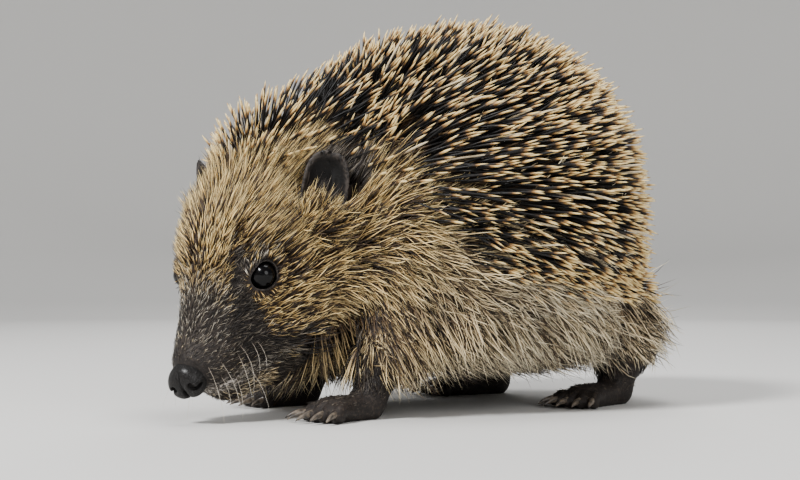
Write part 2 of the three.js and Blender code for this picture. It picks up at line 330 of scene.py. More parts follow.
def coat_depth(p):
    """How far the skin lies inside the envelope."""
    behind_ears = np.exp(-((norm(np.stack([np.abs(p[0]) - 25, p[1] + 38, p[2] - 61])) / 12) ** 2))
    spiny = above_spine_line(p, 14) * (1 - behind_ears)
    under = smooth(-p[2], -24, -12)
    trunk = 7.5 + 5.0 * spiny + 2.5 * under - 1.5 * behind_ears
    head = at(-rows_to_head(p)[1], FACE_DEPTH) + 4.0 * spiny
    t = on_head(p)
    return trunk * (1 - t) + head * t


def outer_points(p, n):
    """The places on the envelope over points p of the skin, with normals n."""
    return p + n * coat_depth(p.T)[:, None]


# ---- ears
def ear_frame(side):
    """Axes (across, out of the opening, up) as rows, and the ear's root."""
    up = head_direction((side * 0.22, math.sin(HEAD_PITCH), math.cos(HEAD_PITCH)))
    opening = head_direction((side * 0.8, -0.5, 0.35))
    across = np.cross(opening, up)
    across /= np.linalg.norm(across)
    return np.array([across, np.cross(up, across), up]), from_head(mirrored(EAR_PLACE, side))


def in_ear_axes(p, side):
    axes, root = ear_frame(side)
    return (p - root) @ axes.T


def on_ear(e):
    """Which points, in an ear's own axes, are on the ear."""
    return (np.abs(e[:, 0]) < 7.5) & (e[:, 2] > 1.0) & (e[:, 2] < 24) & (e[:, 1] > -3.6) & (e[:, 1] < 6)


def ear_bowl(e):
    """An ear's hollow form with a broad round top, in the ear's own axes."""
    radii = column((EAR_WIDTH / 2 - 0.5, 5.2, EAR_HEIGHT / 2 + 0.6))
    q = (e - column((0, 2.2, EAR_HEIGHT * 0.33))) / radii
    broad = (np.abs(q[0]) ** 2.8 + np.abs(q[2]) ** 2.8) ** (1 / 2.8)
    near = np.sqrt(broad * broad + q[1] * q[1])
    return near * (near - 1) / np.maximum(norm(q / radii), 1e-6)


def ear_opening(e):
    """Height above the plane in which an ear opens."""
    return e[1] - 1.6 + 0.10 * e[2]


def ear_field(p, side):
    """The ear's shell, a ridge and a tragus in it, and the root that runs into the head."""
    axes, root = ear_frame(side)
    e = axes.astype(np.float32) @ (p - column(root))
    shell = carve(np.abs(ear_bowl(e)) - EAR_WALL, -ear_opening(e), 0.8)
    stalk_end = axes @ (from_head(mirrored((12, 7, -3), side)) - root)
    stalk = cone(e, (0, -0.5, -1.0), stalk_end, 4.6, 5.5)
    tragus = ellipsoid(e, (side * 3.6, 1.6, -1.2), (1.6, 1.4, 3.0))
    ridge = cone(e, (-side * 2.8, -1.2, 1.0), (-side * 2.2, -1.9, 11.0), 0.9, 0.5)
    return blend(blend(blend(shell, ridge, 1.0), stalk, 3.0), tragus, 1.5)


# ---- legs and feet
def foot_field(p, foot):
    """A paw with five toes, its palm flat on the floor."""
    f = rotation_z(-foot["turn"]).astype(np.float32) @ (p - column((foot["x"], foot["y"], 0.0)))
    palm_length = foot["length"] - foot["toe"]
    width = FOOT_WIDTH - 1.2
    palm = cone(f, (0, 0, 3.9), (0, -palm_length, 2.6), width * 0.38, width * 0.47)
    paw = carve(palm, 6.4 - f[2], 2.0)
    for root, out, reach in toe_rays(foot):
        heights = ((-2, 2.6), (reach * 0.55, 3.1), (reach - 0.3, 1.8))
        a, b, c = (toe_point(root, out, distance, height) for distance, height in heights)
        toe = np.minimum(cone(f, a, b, 1.75, 1.65), cone(f, b, c, 1.65, 1.35))
        pad = ellipsoid(f, toe_point(root, out, reach * 0.72, 1.2), (1.5, 1.9, 1.2))
        paw = blend(paw, blend(toe, pad, 0.6), 0.9)
    return paw


def toe_rays(foot, toes=5):
    """Each toe's root, its direction, and its reach, in the foot's own frame."""
    palm_length = foot["length"] - foot["toe"]
    for place in np.linspace(-1, 1, toes):
        fan = place * TOE_FAN
        root = np.array([place * FOOT_WIDTH * 0.36, -palm_length, 0.0])
        yield root, np.array([math.sin(fan), -math.cos(fan), 0.0]), foot["toe"] * (1 - 0.28 * place * place)


def toe_point(root, out, distance, height):
    point = root + out * distance
    point[2] = height
    return point


def leg_points(name):
    """The leg's top, knee and ankle, and its radius at each."""
    foot = FEET[name]
    x, y, inward = foot["x"], foot["y"], math.copysign(1, foot["x"])
    if name.startswith("fore"):
        return ((x - inward * 3, y + 10, 28), (x, y + 6, 16), (x, y, 4)), (8.2, 5.9, 4.1)
    return ((x - inward * 2, y - 4, 30), (x + inward, y + 1, 16), (x, y - 1, 4)), (11.0, 7.6, 4.3)


def limb_field(p, name):
    (top, knee, ankle), (r_top, r_knee, r_ankle) = leg_points(name)
    leg = blend(cone(p, top, knee, r_top, r_knee), cone(p, knee, ankle, r_knee, r_ankle), 3)
    return np.maximum(blend(leg, foot_field(p, FEET[name]), 2.5), 0.02 - p[2])


def limbs_field(p):
    return np.minimum.reduce([limb_field(p, name) for name in FEET])


# ---- eyes and lids
def eye_axes(side):
    """Rows: across the eye towards the ear or nose, up, and the way the eye faces."""
    facing = head_direction(mirrored(EYE_FACING, side))
    across = unit(np.cross(head_direction((0, 0, 1)), facing))
    return np.array([across, np.cross(facing, across), facing])


def lid_reach(p, side, eye):
    """(distance from the eye's middle as a share of the lids' opening, height, distance ahead)."""
    u, v, ahead = eye_axes(side).astype(np.float32) @ (p - column(eye))
    noseward = -side * u
    half_width = EYE_OPENING[0] * (1 + 0.16 * smooth(noseward, 0, 3))
    reach = np.sqrt((u / half_width) ** 2 + ((v - 0.03 * u * u + 0.12 * noseward) / EYE_OPENING[1]) ** 2)
    return reach, v, ahead


def eye_gap(p):
    """Distance to the nearer eye's middle."""
    return np.minimum(*(np.linalg.norm(p - eye, axis=1) for eye in EYES.values()))


def with_eye(body, p, side, eye):
    """The body's field with one eye's lids in it: a rim round the opening, and a fold or two beyond."""
    reach, v, ahead = lid_reach(p, side, eye)
    ball = norm(p - column(eye))
    body = blend(body, ellipsoid(p, eye - eye_axes(side)[2] * 1.5, (4.8, 4.8, 4.8)), 3.0)
    body = blend(body, ball - (EYE_RADIUS + 0.38), 1.0)
    lid = (reach - 1) * EYE_OPENING[1]
    rim = np.sqrt((lid - 0.2) ** 2 + (ball - EYE_RADIUS - 0.26) ** 2) - 0.27
    body = blend(body, np.maximum(rim, -ahead), 0.25)
    above = smooth(v, -2.5, 1.0)
    crease = np.exp(-(((lid - 1.25) / 0.22) ** 2)) * (0.35 + 0.65 * above)
    crease += 0.6 * np.exp(-(((lid - 2.3) / 0.26) ** 2)) * (1 - 0.7 * above)
    body = carve(body + 0.3 * crease * (ahead > 0), np.maximum(lid, -ahead), 0.25)
    return np.maximum(body, EYE_RADIUS + 0.04 - ball)


# ---- the whole skin's field
def change_near(body, p, centre, radius, change):
    """Applies a change to the field only at the points near a centre."""
    near = norm(p - column(centre)) < radius
    if near.any():
        body[near] = change(body[near], p[:, near])
    return body


def skin_field(p):
    q = rows_to_head(p)
    body = coat_field(p) + coat_depth(p)
    body = blend(body, cone(p, (0, RUMP_REACH - 20, 27), (0, RUMP_REACH + 4, 20), 5.0, 2.4), 6)
    # The lips part along a fine line.
    lips = np.maximum(np.abs(q[2] - at(q[1], MOUTH)) - 0.28, q[1] + 21.5)
    body = carve(body, np.maximum(lips, -(body + 1.3)), 0.7)
    for name, side in SIDES:
        body = change_near(body, p, EYES[name], 13, lambda b, n: with_eye(b, n, side, EYES[name]))
        root = ear_frame(side)[1]
        body = change_near(body, p, root, 28, lambda b, n: blend(b, ear_field(n, side), 1.5))
    for name, foot in FEET.items():
        middle = (foot["x"], foot["y"] - 2, 14)
        body = change_near(body, p, middle, 36, lambda b, n: blend(b, limb_field(n, name), 4))
    return body


# ---- meshing a field
def graded(*stops):
    """Grid lines through stops, each (from, step), up to the last, which is (to, None)."""
    lines = []
    for (start, step), (end, _) in zip(stops, stops[1:]):
        lines.append(np.linspace(start, end, max(int(round((end - start) / step)), 1), endpoint=False))
    return np.concatenate(lines + [[stops[-1][0]]]).astype(np.float32)


def evaluate(field, points, block=60000):
    """The field at points, on all cores."""
    points = np.ascontiguousarray(points.T, np.float32)
    parts = [points[:, start:start + block] for start in range(0, points.shape[1], block)]
    with ThreadPoolExecutor(4) as pool:
        return np.concatenate(list(pool.map(field, parts)))


def sample_field(field, grid, block=6):
    """The field on a grid, worked out only in the blocks that its surface can cross."""
    shape = [len(line) for line in grid]
    starts = [np.arange(0, n, block) for n in shape]
    middles = [np.minimum(s + block // 2, n - 1) for s, n in zip(starts, shape)]
    coarse = np.stack(np.meshgrid(*(line[m] for line, m in zip(grid, middles)), indexing="ij"), -1)
    at_middle = evaluate(field, coarse.reshape(-1, 3)).reshape(coarse.shape[:3])
    spans = [line[np.minimum(s + block, len(line) - 1)] - line[s] for line, s in zip(grid, starts)]
    reach = np.sqrt(sum(np.square(span) for span in np.meshgrid(*spans, indexing="ij")))
    active = np.abs(at_middle) < reach * 0.7 + 1.2
    spread = np.ix_(*(np.arange(n) // block for n in shape))
    values = at_middle[spread]
    inside = np.nonzero(active[spread])
    values[inside] = evaluate(field, np.stack([line[i] for line, i in zip(grid, inside)], -1))
    return values


def surface(field, grid):
    """A mesh of quads on the field's zero: vertices and faces."""
    values = sample_field(field, grid)
    inside = values < 0
    nx, ny, nz = (n - 1 for n in inside.shape)
    octants = [inside[x:nx + x, y:ny + y, z:nz + z] for x, y, z in np.ndindex(2, 2, 2)]
    count = sum(octant.astype(np.int8) for octant in octants)
    mixed = (count > 0) & (count < 8)
    cells = np.argwhere(mixed)
    index = np.full(mixed.shape, -1, np.int32)
    index[tuple(cells.T)] = np.arange(len(cells))
    # Each cell's vertex starts in the middle of the places where its edges cross the surface.
    total = np.zeros((len(cells), 3))
    hits = np.zeros(len(cells))
    quads = []
    for axis in range(3):
        u, v = (axis + 1) % 3, (axis + 2) % 3
        for a, b in ((0, 0), (0, 1), (1, 0), (1, 1)):
            start = cells.copy()
            start[:, u] += a
            start[:, v] += b
            end = start.copy()
            end[:, axis] += 1
            f0, f1 = values[tuple(start.T)], values[tuple(end.T)]
            cut = (f0 < 0) != (f1 < 0)
            t = np.where(cut, f0 / np.where(cut, f0 - f1, 1), 0)
            point = np.stack([grid[k][start[:, k]] for k in range(3)], -1).astype(float)
            point[:, axis] += t * (grid[axis][end[:, axis]] - grid[axis][start[:, axis]])
            total += point * cut[:, None]
            hits += cut
        # Where a grid edge crosses the surface, a quad joins the four cells round it.
        low, high = [slice(1, -1)] * 3, [slice(1, -1)] * 3
        low[axis], high[axis] = slice(0, -1), slice(1, None)
        before = inside[tuple(low)]
        edges = np.argwhere(before != inside[tuple(high)])
        corners = []
        for a, b in ((0, 0), (1, 0), (1, 1), (0, 1)):
            cell = edges.copy()
            cell[:, u] += a
            cell[:, v] += b
            corners.append(index[tuple(cell.T)])
        quad = np.stack(corners, -1)
        entering = ~before[tuple(edges.T)]
        quad[entering] = quad[entering][:, ::-1]
        quads.append(quad)
    return settle(field, total / hits[:, None]), np.concatenate(quads)


def settle(field, points, times=2, step=0.12):
    """Moves points on to the field's zero."""
    for _ in range(times):
        value = evaluate(field, points)
        slope = np.stack([evaluate(field, points + d) - value for d in np.eye(3) * step], -1) / step
        move = value[:, None] * slope / np.maximum((slope * slope).sum(-1, keepdims=True), 0.1)
        points = points - np.clip(move, -0.5, 0.5)
    return points


# ---- from arrays to objects
def to_frame(points):
    """Animal's own mm to the frame's metres."""
    return (np.asarray(points, float) + SHIFT) / MM


def put_in_scene(name, data):
    made = bpy.data.objects.new(name, data)
    bpy.context.scene.collection.objects.link(made)
    return made


def make_object(name, vertices, corners, sizes, material):
    """An object from vertices in mm, the faces' corner indices in a row, and each face's corner count."""
    mesh = bpy.data.meshes.new(name)
    mesh.vertices.add(len(vertices))
    mesh.vertices.foreach_set("co", to_frame(vertices).astype(np.float32).ravel())
    mesh.loops.add(len(corners))
    mesh.loops.foreach_set("vertex_index", np.asarray(corners, np.int32).ravel())
    mesh.polygons.add(len(sizes))
    starts = np.concatenate([[0], np.cumsum(sizes)[:-1]]).astype(np.int32)
    mesh.polygons.foreach_set("loop_start", starts)
    mesh.update(calc_edges=True)
    mesh.polygons.foreach_set("use_smooth", np.ones(len(sizes), bool))
    mesh.validate()
    mesh.materials.append(material)
    piece = put_in_scene(name, mesh)
    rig.ride(piece, "root")
    return piece


def make_quads(name, vertices, quads, material):
    return make_object(name, vertices, quads.ravel(), np.full(len(quads), 4), material)


def set_vector(piece, name, values):
    """A vector on each vertex, which the materials read by name."""
    attribute = piece.data.attributes.new(name, "FLOAT_VECTOR", "POINT")
    attribute.data.foreach_set("vector", np.asarray(values, np.float32).ravel())


# ---- markings and painted shade, the same for skin and coat
def markings_and_shade(p):
    """Weights of (dark mask and painted shade under the chin and towards the floor, grizzled grey, golden tinge) on
    the coat at points p.
    """
    q = to_head(p)
    ahead, up = -q[:, 1], q[:, 2]
    head = on_head(p.T)
    gap = eye_gap(p)
    lips = lip_band(q) * head
    # Dark towards the nose, in a stripe from the eye down to the mouth, and round the eye.
    muzzle = 0.35 * smooth(ahead, 24, 31) + 0.35 * smooth(ahead, 32, 40) + 0.3 * smooth(ahead, 37, 42)
    stripe = dark_stripe(np.abs(q[:, 0])) * smooth(ahead, 15, 20) * (1 - 0.5 * smooth(ahead, 30, 36))
    ring = 1 - smooth(gap, 4.2, 5.8)
    dark = np.maximum.reduce([muzzle, stripe, ring * 0.9]) * head
    for _, side in SIDES:
        e = in_ear_axes(p, side)
        ear = np.linalg.norm(e * (1, 1, 0.6) - (0, 0, 5), axis=1)
        ear_patch = (1 - smooth(ear, 6.0, 7.5)) * smooth(e[:, 2], 0, 3) * (np.abs(e[:, 0]) < 6.6)
        dark = np.maximum(dark, ear_patch)
    # The legs are dark brown. Painted shade darkens the coat towards the floor, and the brown throat and chest under
    # the chin.
    dark = np.maximum(dark, smooth(-p[:, 2] - 9 * head, -18, -8) * 0.9)
    leg = limbs_field(p.T.astype(np.float32))
    dark = np.maximum(dark, (1 - smooth(leg, 0.5, 2.0)) * (1 - smooth(p[:, 2], 13, 20)) * 0.8)
    # Painted shade on the throat, under the chin.
    throat_shade = smooth(-p[:, 1], 36, 46) * (1 - smooth(p[:, 2], 18, 27)) * (1 - smooth(np.abs(p[:, 0]), 20, 28))
    dark = np.maximum(dark, throat_shade * (ahead < 26) * 0.85)
    dark = dark * (1 - 0.9 * lips)
    grey = smooth(ahead, 22, 31) * (1 - 0.5 * smooth(ahead, 36, 44)) * smooth(up, -24, -12) * head
    brow = 0.6 * (1 - smooth(gap, 6, 10)) * smooth(up, -1, 3)
    grey = np.maximum.reduce([grey, brow * head, lips])
    gold = 0.38 + 0.62 * smooth(-p[:, 1] + 0.6 * p[:, 2], 20, 80)
    gold = gold * (1 - 0.6 * smooth(ahead, 22, 32) * head)
    return np.stack([dark, grey * (1 - dark * 0.5), gold], -1)


def dark_stripe(side):
    """1 on the stripe down each side of the face, at a distance from its middle."""
    return np.exp(-(((side - 11.2) / 2.3) ** 4))


def lip_band(q):
    """1 on the pale lower lip and chin."""
    below = at(q[:, 1], MOUTH) - q[:, 2]
    return smooth(below, -1.4, -0.2) * (1 - smooth(below, 3.0, 5.0)) * smooth(-q[:, 1], 20, 26)


def bare_parts(p):
    """Weights of (lids' rims with a painted lighter edge round each ear's opening, pale lips, painted shade in the
    ears' hollows) on bare skin at points p.
    """
    rim, hollow = np.zeros(len(p)), np.zeros(len(p))
    for name, side in SIDES:
        reach, _, ahead = lid_reach(p.T, side, EYES[name])
        gap = np.linalg.norm(p - EYES[name], axis=1)
        rim = np.maximum(rim, (1 - smooth(reach, 1.02, 1.12)) * (ahead > 0) * (gap < 6))
        e = in_ear_axes(p, side).T
        bowl, opening = ear_bowl(e), ear_opening(e)
        # Painted shade inside each ear's hollow.
        inside = (1 - smooth(bowl, -0.3, 0.1)) * (1 - smooth(opening, -1.2, -0.1)) * (np.abs(e[0]) < 8)
        hollow = np.maximum(hollow, inside * smooth(e[2], 0, 6))
        # Painted highlight: a lighter edge round each ear's opening.
        edge = (1 - smooth(np.abs(opening), 0.15, 0.6)) * (np.abs(bowl) < 0.9) * smooth(e[2], 1, 4)
        rim = np.maximum(rim, edge * 0.9)
    return np.stack([rim, lip_band(to_head(p)) * on_head(p.T), hollow], -1)


# ---- the skin
SKIN_GRID = (
    graded(
        (-56, 1.3), (-42, 0.8), (-15.5, 0.36), (-4.5, 0.6),
        (9, 0.36), (24.5, 0.8), (42, 1.3), (56, None),
    ),
    graded((-88, 0.5), (-80, 0.38), (-56, 0.55), (-22, 1.2), (20, 1.0), (30, 0.7), (56, 1.0), (78, None)),
    graded((-0.9, 0.45), (10, 0.7), (31, 0.38), (43, 0.7), (62, 1.3), (106, None)),
)


def make_skin(material):
    vertices, quads = surface(skin_field, SKIN_GRID)
    skin = make_quads("skin", vertices, quads, material)
    # Markings and painted shade, then lids' rims, lips, and painted shade and highlight in the ears.
    set_vector(skin, "marks_and_shade", markings_and_shade(vertices))
    set_vector(skin, "bare", bare_parts(vertices))
    unwrap(skin)
    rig.replaces(
        skin, "back", "crown", "trunk", "neck", "tail", "head", "muzzle", "jaw", "ear_left", "ear_right"
    )
    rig.replaces(skin, *(f"{part}_{name}" for part in ("leg", "foot") for name in FEET))
    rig.slot(skin, "face")
    return Skin(skin, vertices, quads)


def unwrap(piece):
    """Lays the piece's own shape out flat, as the map named OFBake."""
    piece.data.uv_layers.new(name="OFBake")
    bpy.context.view_layer.objects.active = piece
    piece.select_set(True)
    bpy.ops.object.mode_set(mode="EDIT")
    bpy.ops.mesh.select_all(action="SELECT")
    bpy.ops.uv.smart_project(angle_limit=math.radians(70), island_margin=0.002)
    bpy.ops.object.mode_set(mode="OBJECT")
    piece.select_set(False)


class Skin:
    """The skin's mesh as arrays, for placing roots on it."""

    def __init__(self, piece, vertices, quads):
        self.vertices = vertices
        self.quads = quads
        a, b, c, d = (vertices[quads[:, k]] for k in range(4))
        face = np.cross(c - a, d - b)
        self.middle = (a + b + c + d) / 4
        self.area = np.linalg.norm(face, axis=1) / 2
        self.facing = unit(face)
        totals = [
            sum(np.bincount(quads[:, k], part, len(vertices)) for k in range(4)) for part in face.T
        ]
        self.normals = unit(np.stack(totals, -1))
        uv = np.empty(len(quads) * 8, np.float32)
        piece.data.uv_layers["OFBake"].data.foreach_get("uv", uv)
        self.uv = uv.reshape(-1, 4, 2)

    def sow(self, density):
        """Roots spread over the skin, with density(points, normals) of them to a square mm."""
        total = np.cumsum(self.area * density(self.middle, self.facing))
        count = int(total[-1])
        picks = np.sort((np.arange(count) + rng.random(count)) / count * total[-1] * 0.999999)
        face = np.searchsorted(total, picks)
        u, v = rng.random((2, count, 1))
        weights = ((1 - u) * (1 - v), u * (1 - v), u * v, (1 - u) * v)
        corner = self.quads[face]
        place = sum(w * self.vertices[corner[:, k]] for k, w in enumerate(weights))
        normal = unit(sum(w * self.normals[corner[:, k]] for k, w in enumerate(weights)))
        return Roots(place, normal, sum(w * self.uv[face, k] for k, w in enumerate(weights)))


class Roots:
    """Where strands grow: their places and normals on the skin, and their places on its unwrap."""

    def __init__(self, place, normal, uv):
        self.place = place
        self.normal = normal
        self.uv = uv
        here = evaluate(coat_field, place)
        slope = unit(np.stack([evaluate(coat_field, place + d) - here for d in np.eye(3) * 0.5], -1))
        agree = np.clip((slope * normal).sum(1, keepdims=True), 0, 1)
        self.out = unit(agree * slope + (1.2 - agree) * normal)
        self.outer = outer_points(place, normal)
        self.head = to_head(self.outer)

    def __len__(self):
        return len(self.place)

    def pick(self, chosen, *arrays):
        """The chosen roots, and the same choice from arrays that go with them."""
        return Roots(self.place[chosen], self.normal[chosen], self.uv[chosen]), *(a[chosen] for a in arrays)


def gap_squared(a, b):
    d = a - b
    return d[0] * d[0] + d[1] * d[1] + d[2] * d[2]


def thin_out(points, spacing):
    """Indices of points, taken in turn, that keep their own spacing from those already taken."""
    cells = {}
    taken = []
    keys = np.floor(points / spacing.max()).astype(int)
    steps = np.array(list(np.ndindex(3, 3, 3))) - 1
    for n in rng.permutation(len(points)):
        point, gap = points[n], spacing[n] ** 2
        around = (tuple(cell) for cell in (keys[n] + steps).tolist())
        if all(gap_squared(points[other], point) >= gap for cell in around for other in cells.get(cell, ())):
            cells.setdefault(tuple(keys[n].tolist()), []).append(n)
            taken.append(n)
    return np.array(taken)


# ---- strands: spines, hairs and whiskers
# Each shape is (share of the way to the tip, thickness as a share of the width).
SPINE_SHAPE = ((0, 0.6), (0.15, 0.85), (0.6, 0.92), (0.84, 1.0), (0.94, 0.55))
LONG_SHAPE = ((0, 0.7), (0.3, 1.0), (0.6, 0.9), (0.84, 0.6))
SHORT_SHAPE = ((0, 0.8), (0.5, 1.0))
FINE_SHAPE = ((0, 0.7), (0.35, 1.0), (0.75, 0.7))
WHISKER_SHAPE = ((0, 1.0), (0.2, 0.95), (0.4, 0.85), (0.6, 0.7), (0.8, 0.45))
PATCH = 0.003  # across one strand's patch of the OFBake map


def strand_faces(rings, sides):
    """Corner indices, corner counts and the corners' places on a unit patch, for one closed strand."""
    corners, sizes, patch = list(range(sides - 1, -1, -1)), [sides], [(0.5, 0.0)] * sides
    for r in range(rings):
        for k in range(sides):
            a, b = r * sides + k, r * sides + (k + 1) % sides
            left, right = k / sides, (k + 1) / sides
            if r < rings - 1:
                corners += [a, b, b + sides, a + sides]
                patch += [(left, r), (right, r), (right, r + 1), (left, r + 1)]
                sizes.append(4)
            else:
                corners += [a, b, rings * sides]
                patch += [(left, r), (right, r), ((k + 0.5) / sides, rings)]
                sizes.append(3)
    return np.array(corners), np.array(sizes), np.array(patch, float)


def make_strands(name, slot, material, roots, length, width, start, end, shape, sides=3, pull=None):
    """One piece of closed, tapered strands. Each leaves its root along start and ends along end."""
    count, rings = len(roots), len(shape)
    t = np.array([place for place, _ in shape] + [1.0])
    radius = np.array([thickness for _, thickness in shape]) / 2
    start, end = unit(start)[:, None], unit(end)[:, None]
    sunk = roots.place - roots.normal * 0.25
    way = start * (t - t * t / 2)[:, None] + end * (t * t / 2)[:, None]
    line = sunk[:, None] + length[:, None, None] * way
    if pull is not None:
        line = line + pull[:, None] * (t * t)[:, None]
    along = unit(start * (1 - t)[:, None] + end * t[:, None])[:, :-1]
    guide = unit(rng.normal(size=(count, 3)))
    across = unit(np.cross(along, guide[:, None]))
    other = np.cross(along, across)
    angle = np.arange(sides) * 2 * math.pi / sides
    ring = across[:, :, None] * np.cos(angle)[:, None] + other[:, :, None] * np.sin(angle)[:, None]
    ring = line[:, :-1, None] + ring * (radius[:, None] * width[:, None, None])[..., None]
    vertices = np.concatenate([ring.reshape(count, rings * sides, 3), line[:, -1:]], 1)
    vertices[..., 2] = np.maximum(vertices[..., 2], 0.12)
    corners, sizes, patch = strand_faces(rings, sides)
    each = rings * sides + 1
    corners = (corners[None] + np.arange(count)[:, None] * each).ravel()
    piece = make_object(name, vertices.reshape(-1, 3), corners, np.tile(sizes, count), material)
    flat = np.stack([patch[:, 0], t[patch[:, 1].astype(int)]], -1)
    uv = roots.uv[:, None] + (flat[None] - 0.5) * PATCH
    layer = piece.data.uv_layers.new(name="OFBake")
    layer.data.foreach_set("uv", np.clip(uv, 0, 1).astype(np.float32).ravel())
    luck = np.repeat(rng.random(count), each)
    level = np.tile(np.append(np.repeat(t[:-1], sides), 1.0), count)
    from_tip = (1 - level) * np.repeat(length, each)
    set_vector(piece, "strand", np.stack([level, luck, from_tip], -1))
    # The markings and painted shade at each strand's root.
    set_vector(piece, "marks_and_shade", np.repeat(markings_and_shade(roots.outer), each, 0))
    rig.slot(piece, slot)


def to_envelope(roots, direction):
    """The length at which each strand's tip reaches the coat's envelope."""
    length = np.full(len(roots), 14.0)
    rise = np.maximum((roots.normal * direction).sum(1), 0.3)
    for _ in range(5):
        gap = evaluate(coat_field, roots.place + direction * length[:, None])
        length = np.clip(length - 0.8 * gap / rise, 8.0, 25.0)
    return length


def short_of(last, roots, start, end, length):
    """The hairs' lengths, less where their tips would go back past y = last, behind the rump."""
    reach = length * (start + end)[:, 1] / 2
    share = (last - roots.place[:, 1]) / np.maximum(reach, 0.1)
    return length * np.where(roots.place[:, 1] + reach > last, np.clip(share, 0.3, 1), 1)


def jitter(roots, amount):
    return rng.normal(size=(len(roots), 3)) * amount


def flat_to(direction, normal):
    """Direction laid along the skin."""
    direction = np.broadcast_to(direction, normal.shape)
    return unit(direction - normal * (direction * normal).sum(1, keepdims=True))


def toward(x, stops):
    """A direction that changes with x: stops are (x, direction)."""
    return np.stack([at(x, [(place, way[axis]) for place, way in stops]) for axis in range(3)], -1)


def curved(roots, lie, lift, mess, stand=0.0):
    """Start and end directions of hairs that bend to and fro across the way they lie."""
    across = np.cross(roots.out, lie)
    mess = np.broadcast_to(mess, len(roots))
    swing = rng.normal(size=(2, len(roots), 1)) * mess[:, None]
    low = (0.1 + 0.9 * stand) * lift - 0.12 * (1 - stand) + rng.normal(size=len(roots)) * mess * 0.4
    start = unit(lie + across * (swing[0] + 0.4 * swing[1]) + roots.out * lift[:, None])
    end = unit(lie + across * (swing[1] - 0.4 * swing[0]) + roots.out * low[:, None])
    return start, end


def gather(roots, length, start, end, spacing, share):
    """How far each tip is drawn towards its lock's middle tip."""
    tips = roots.place + length[:, None] * (start + end) / 2
    seeds = thin_out(roots.place, np.full(len(roots), spacing))
    nearest = np.empty(len(roots), int)
    for part in range(0, len(roots), 2000):
        d = roots.place[part:part + 2000, None] - roots.place[seeds][None]
        nearest[part:part + 2000] = seeds[(d * d).sum(-1).argmin(1)]
    return (tips[nearest] - tips) * share[:, None]


# ---- spines
def beside_ears(p):
    """1 where nothing would grow through an ear or hide it, 0 on it and just before it."""
    free = np.ones(len(p))
    for _, side in SIDES:
        e = in_ear_axes(p, side)
        before = np.sqrt((e[:, 0] / 1.1) ** 2 + ((e[:, 1] - 2) / 1.2) ** 2 + ((e[:, 2] - 7) / 1.5) ** 2)
        free = free * (before > 6) * ~on_ear(e)
    return free


def clear_of_ears(roots, start, end, length, above):
    """Which strands don't cross in front of an ear, above a height on it."""
    free = np.ones(len(roots), bool)
    for _, side in SIDES:
        for t in (0.25, 0.4, 0.55, 0.7, 0.85, 1.0):
            way = unit(start) * (t - t * t / 2) + unit(end) * (t * t / 2)
            across, out, up = in_ear_axes(roots.place + way * length[:, None], side).T
            free &= ~((np.abs(across) < 6.5) & (out > -2) & (out < 14) & (up > above) & (up < 20))
    return free


def sow_spines(skin):
    """Roots on the mantle that keep apart, closer on the crown and low on the sides."""

    def density(p, n):
        spiny = above_spine_line(outer_points(p, n).T, 3.0) > 0.3
        return 4.2 * spiny * (n[:, 2] > -0.5) * beside_ears(p)

    roots = skin.sow(density)
    crown = smooth(-roots.outer[:, 1], 30, 55)
    low = 1 - smooth(roots.outer[:, 2], 35, 60)
    return roots.pick(thin_out(roots.place, 1.48 - 0.16 * crown - 0.10 * low))[0]


def make_spines(skin, material):
    roots = sow_spines(skin)
    crown = smooth(-roots.outer[:, 1], 34, 58)
    low = 1 - smooth(roots.outer[:, 2], 38, 66)
    top = smooth(roots.normal[:, 2], 0.3, 0.95) * (1 - crown)
    back = toward(low, ((0, (0, 1, -0.10)), (1, (0, 1, -0.62))))
    lean = 0.95 - 0.40 * crown + 0.15 * low - 0.28 * top
    direction = unit(roots.normal + back * lean[:, None] + jitter(roots, 0.14) * (1 - 0.35 * crown)[:, None])
    length = to_envelope(roots, direction) * rng.uniform(0.84, 1.06, len(roots))
    length = length * np.where(rng.random(len(roots)) < 0.12, 1.13, 1.0)
    width = (0.66 - 0.08 * low - 0.10 * crown) * rng.uniform(0.85, 1.15, len(roots))
    start = direction + roots.normal * 0.16
    end = direction - roots.normal * 0.16
    free = clear_of_ears(roots, start, end, length, 1.5)
    roots, length, width, start, end = roots.pick(free, length, width, start, end)
    from_snout = np.array_split(np.argsort(roots.place[:, 1]), 3)
    for part, chosen in zip(("fore", "mid", "rear"), from_snout):
        strands = roots.pick(chosen, length, width, start, end)
        make_strands(f"spines_{part}", "spines", material, *strands, SPINE_SHAPE, sides=5)


# ---- hair: where it grows and how it lies
TRUNK_LIE = (  # height, direction
    (12, (0, 0.42, -0.90)),
    (26, (0, 0.72, -0.62)),
    (40, (0, 0.90, -0.38)),
    (52, (0, 0.95, 0.05)),
    (64, (0, 0.85, 0.50)),
)
CHEST_LIE = np.array([0, 0.30, -0.95])
RUMP_LIE = np.array([0, 0.35, -0.9])
FRINGE_HANG = (  # y, direction on the left side
    (-44, (0.25, 0.22, -0.92)),
    (-20, (0.30, 0.42, -0.82)),
    (20, (0.30, 0.58, -0.72)),
    (45, (0.28, 0.75, -0.58)),
    (64, (0.20, 0.95, -0.32)),
)
FRINGE_TIPS = ((-44, 4.0), (-24, 6.5), (14, 6.5), (40, 10.0), (58, 15.0), (74, 23.0))  # y, height


def trunk_lie(outer):
    """Which way the trunk's hair lies, before it is laid along the skin."""
    chest = (smooth(-outer[:, 1], 22, 44) * (1 - smooth(outer[:, 2], 26, 46)))[:, None]
    rump = smooth(outer[:, 1], 42, 66)[:, None]
    lie = toward(outer[:, 2], TRUNK_LIE) * (1 - chest) + CHEST_LIE * chest
    lie = lie * (1 - rump) + RUMP_LIE * rump
    return unit(lie + np.sign(outer[:, :1]) * (0.1, 0, 0))


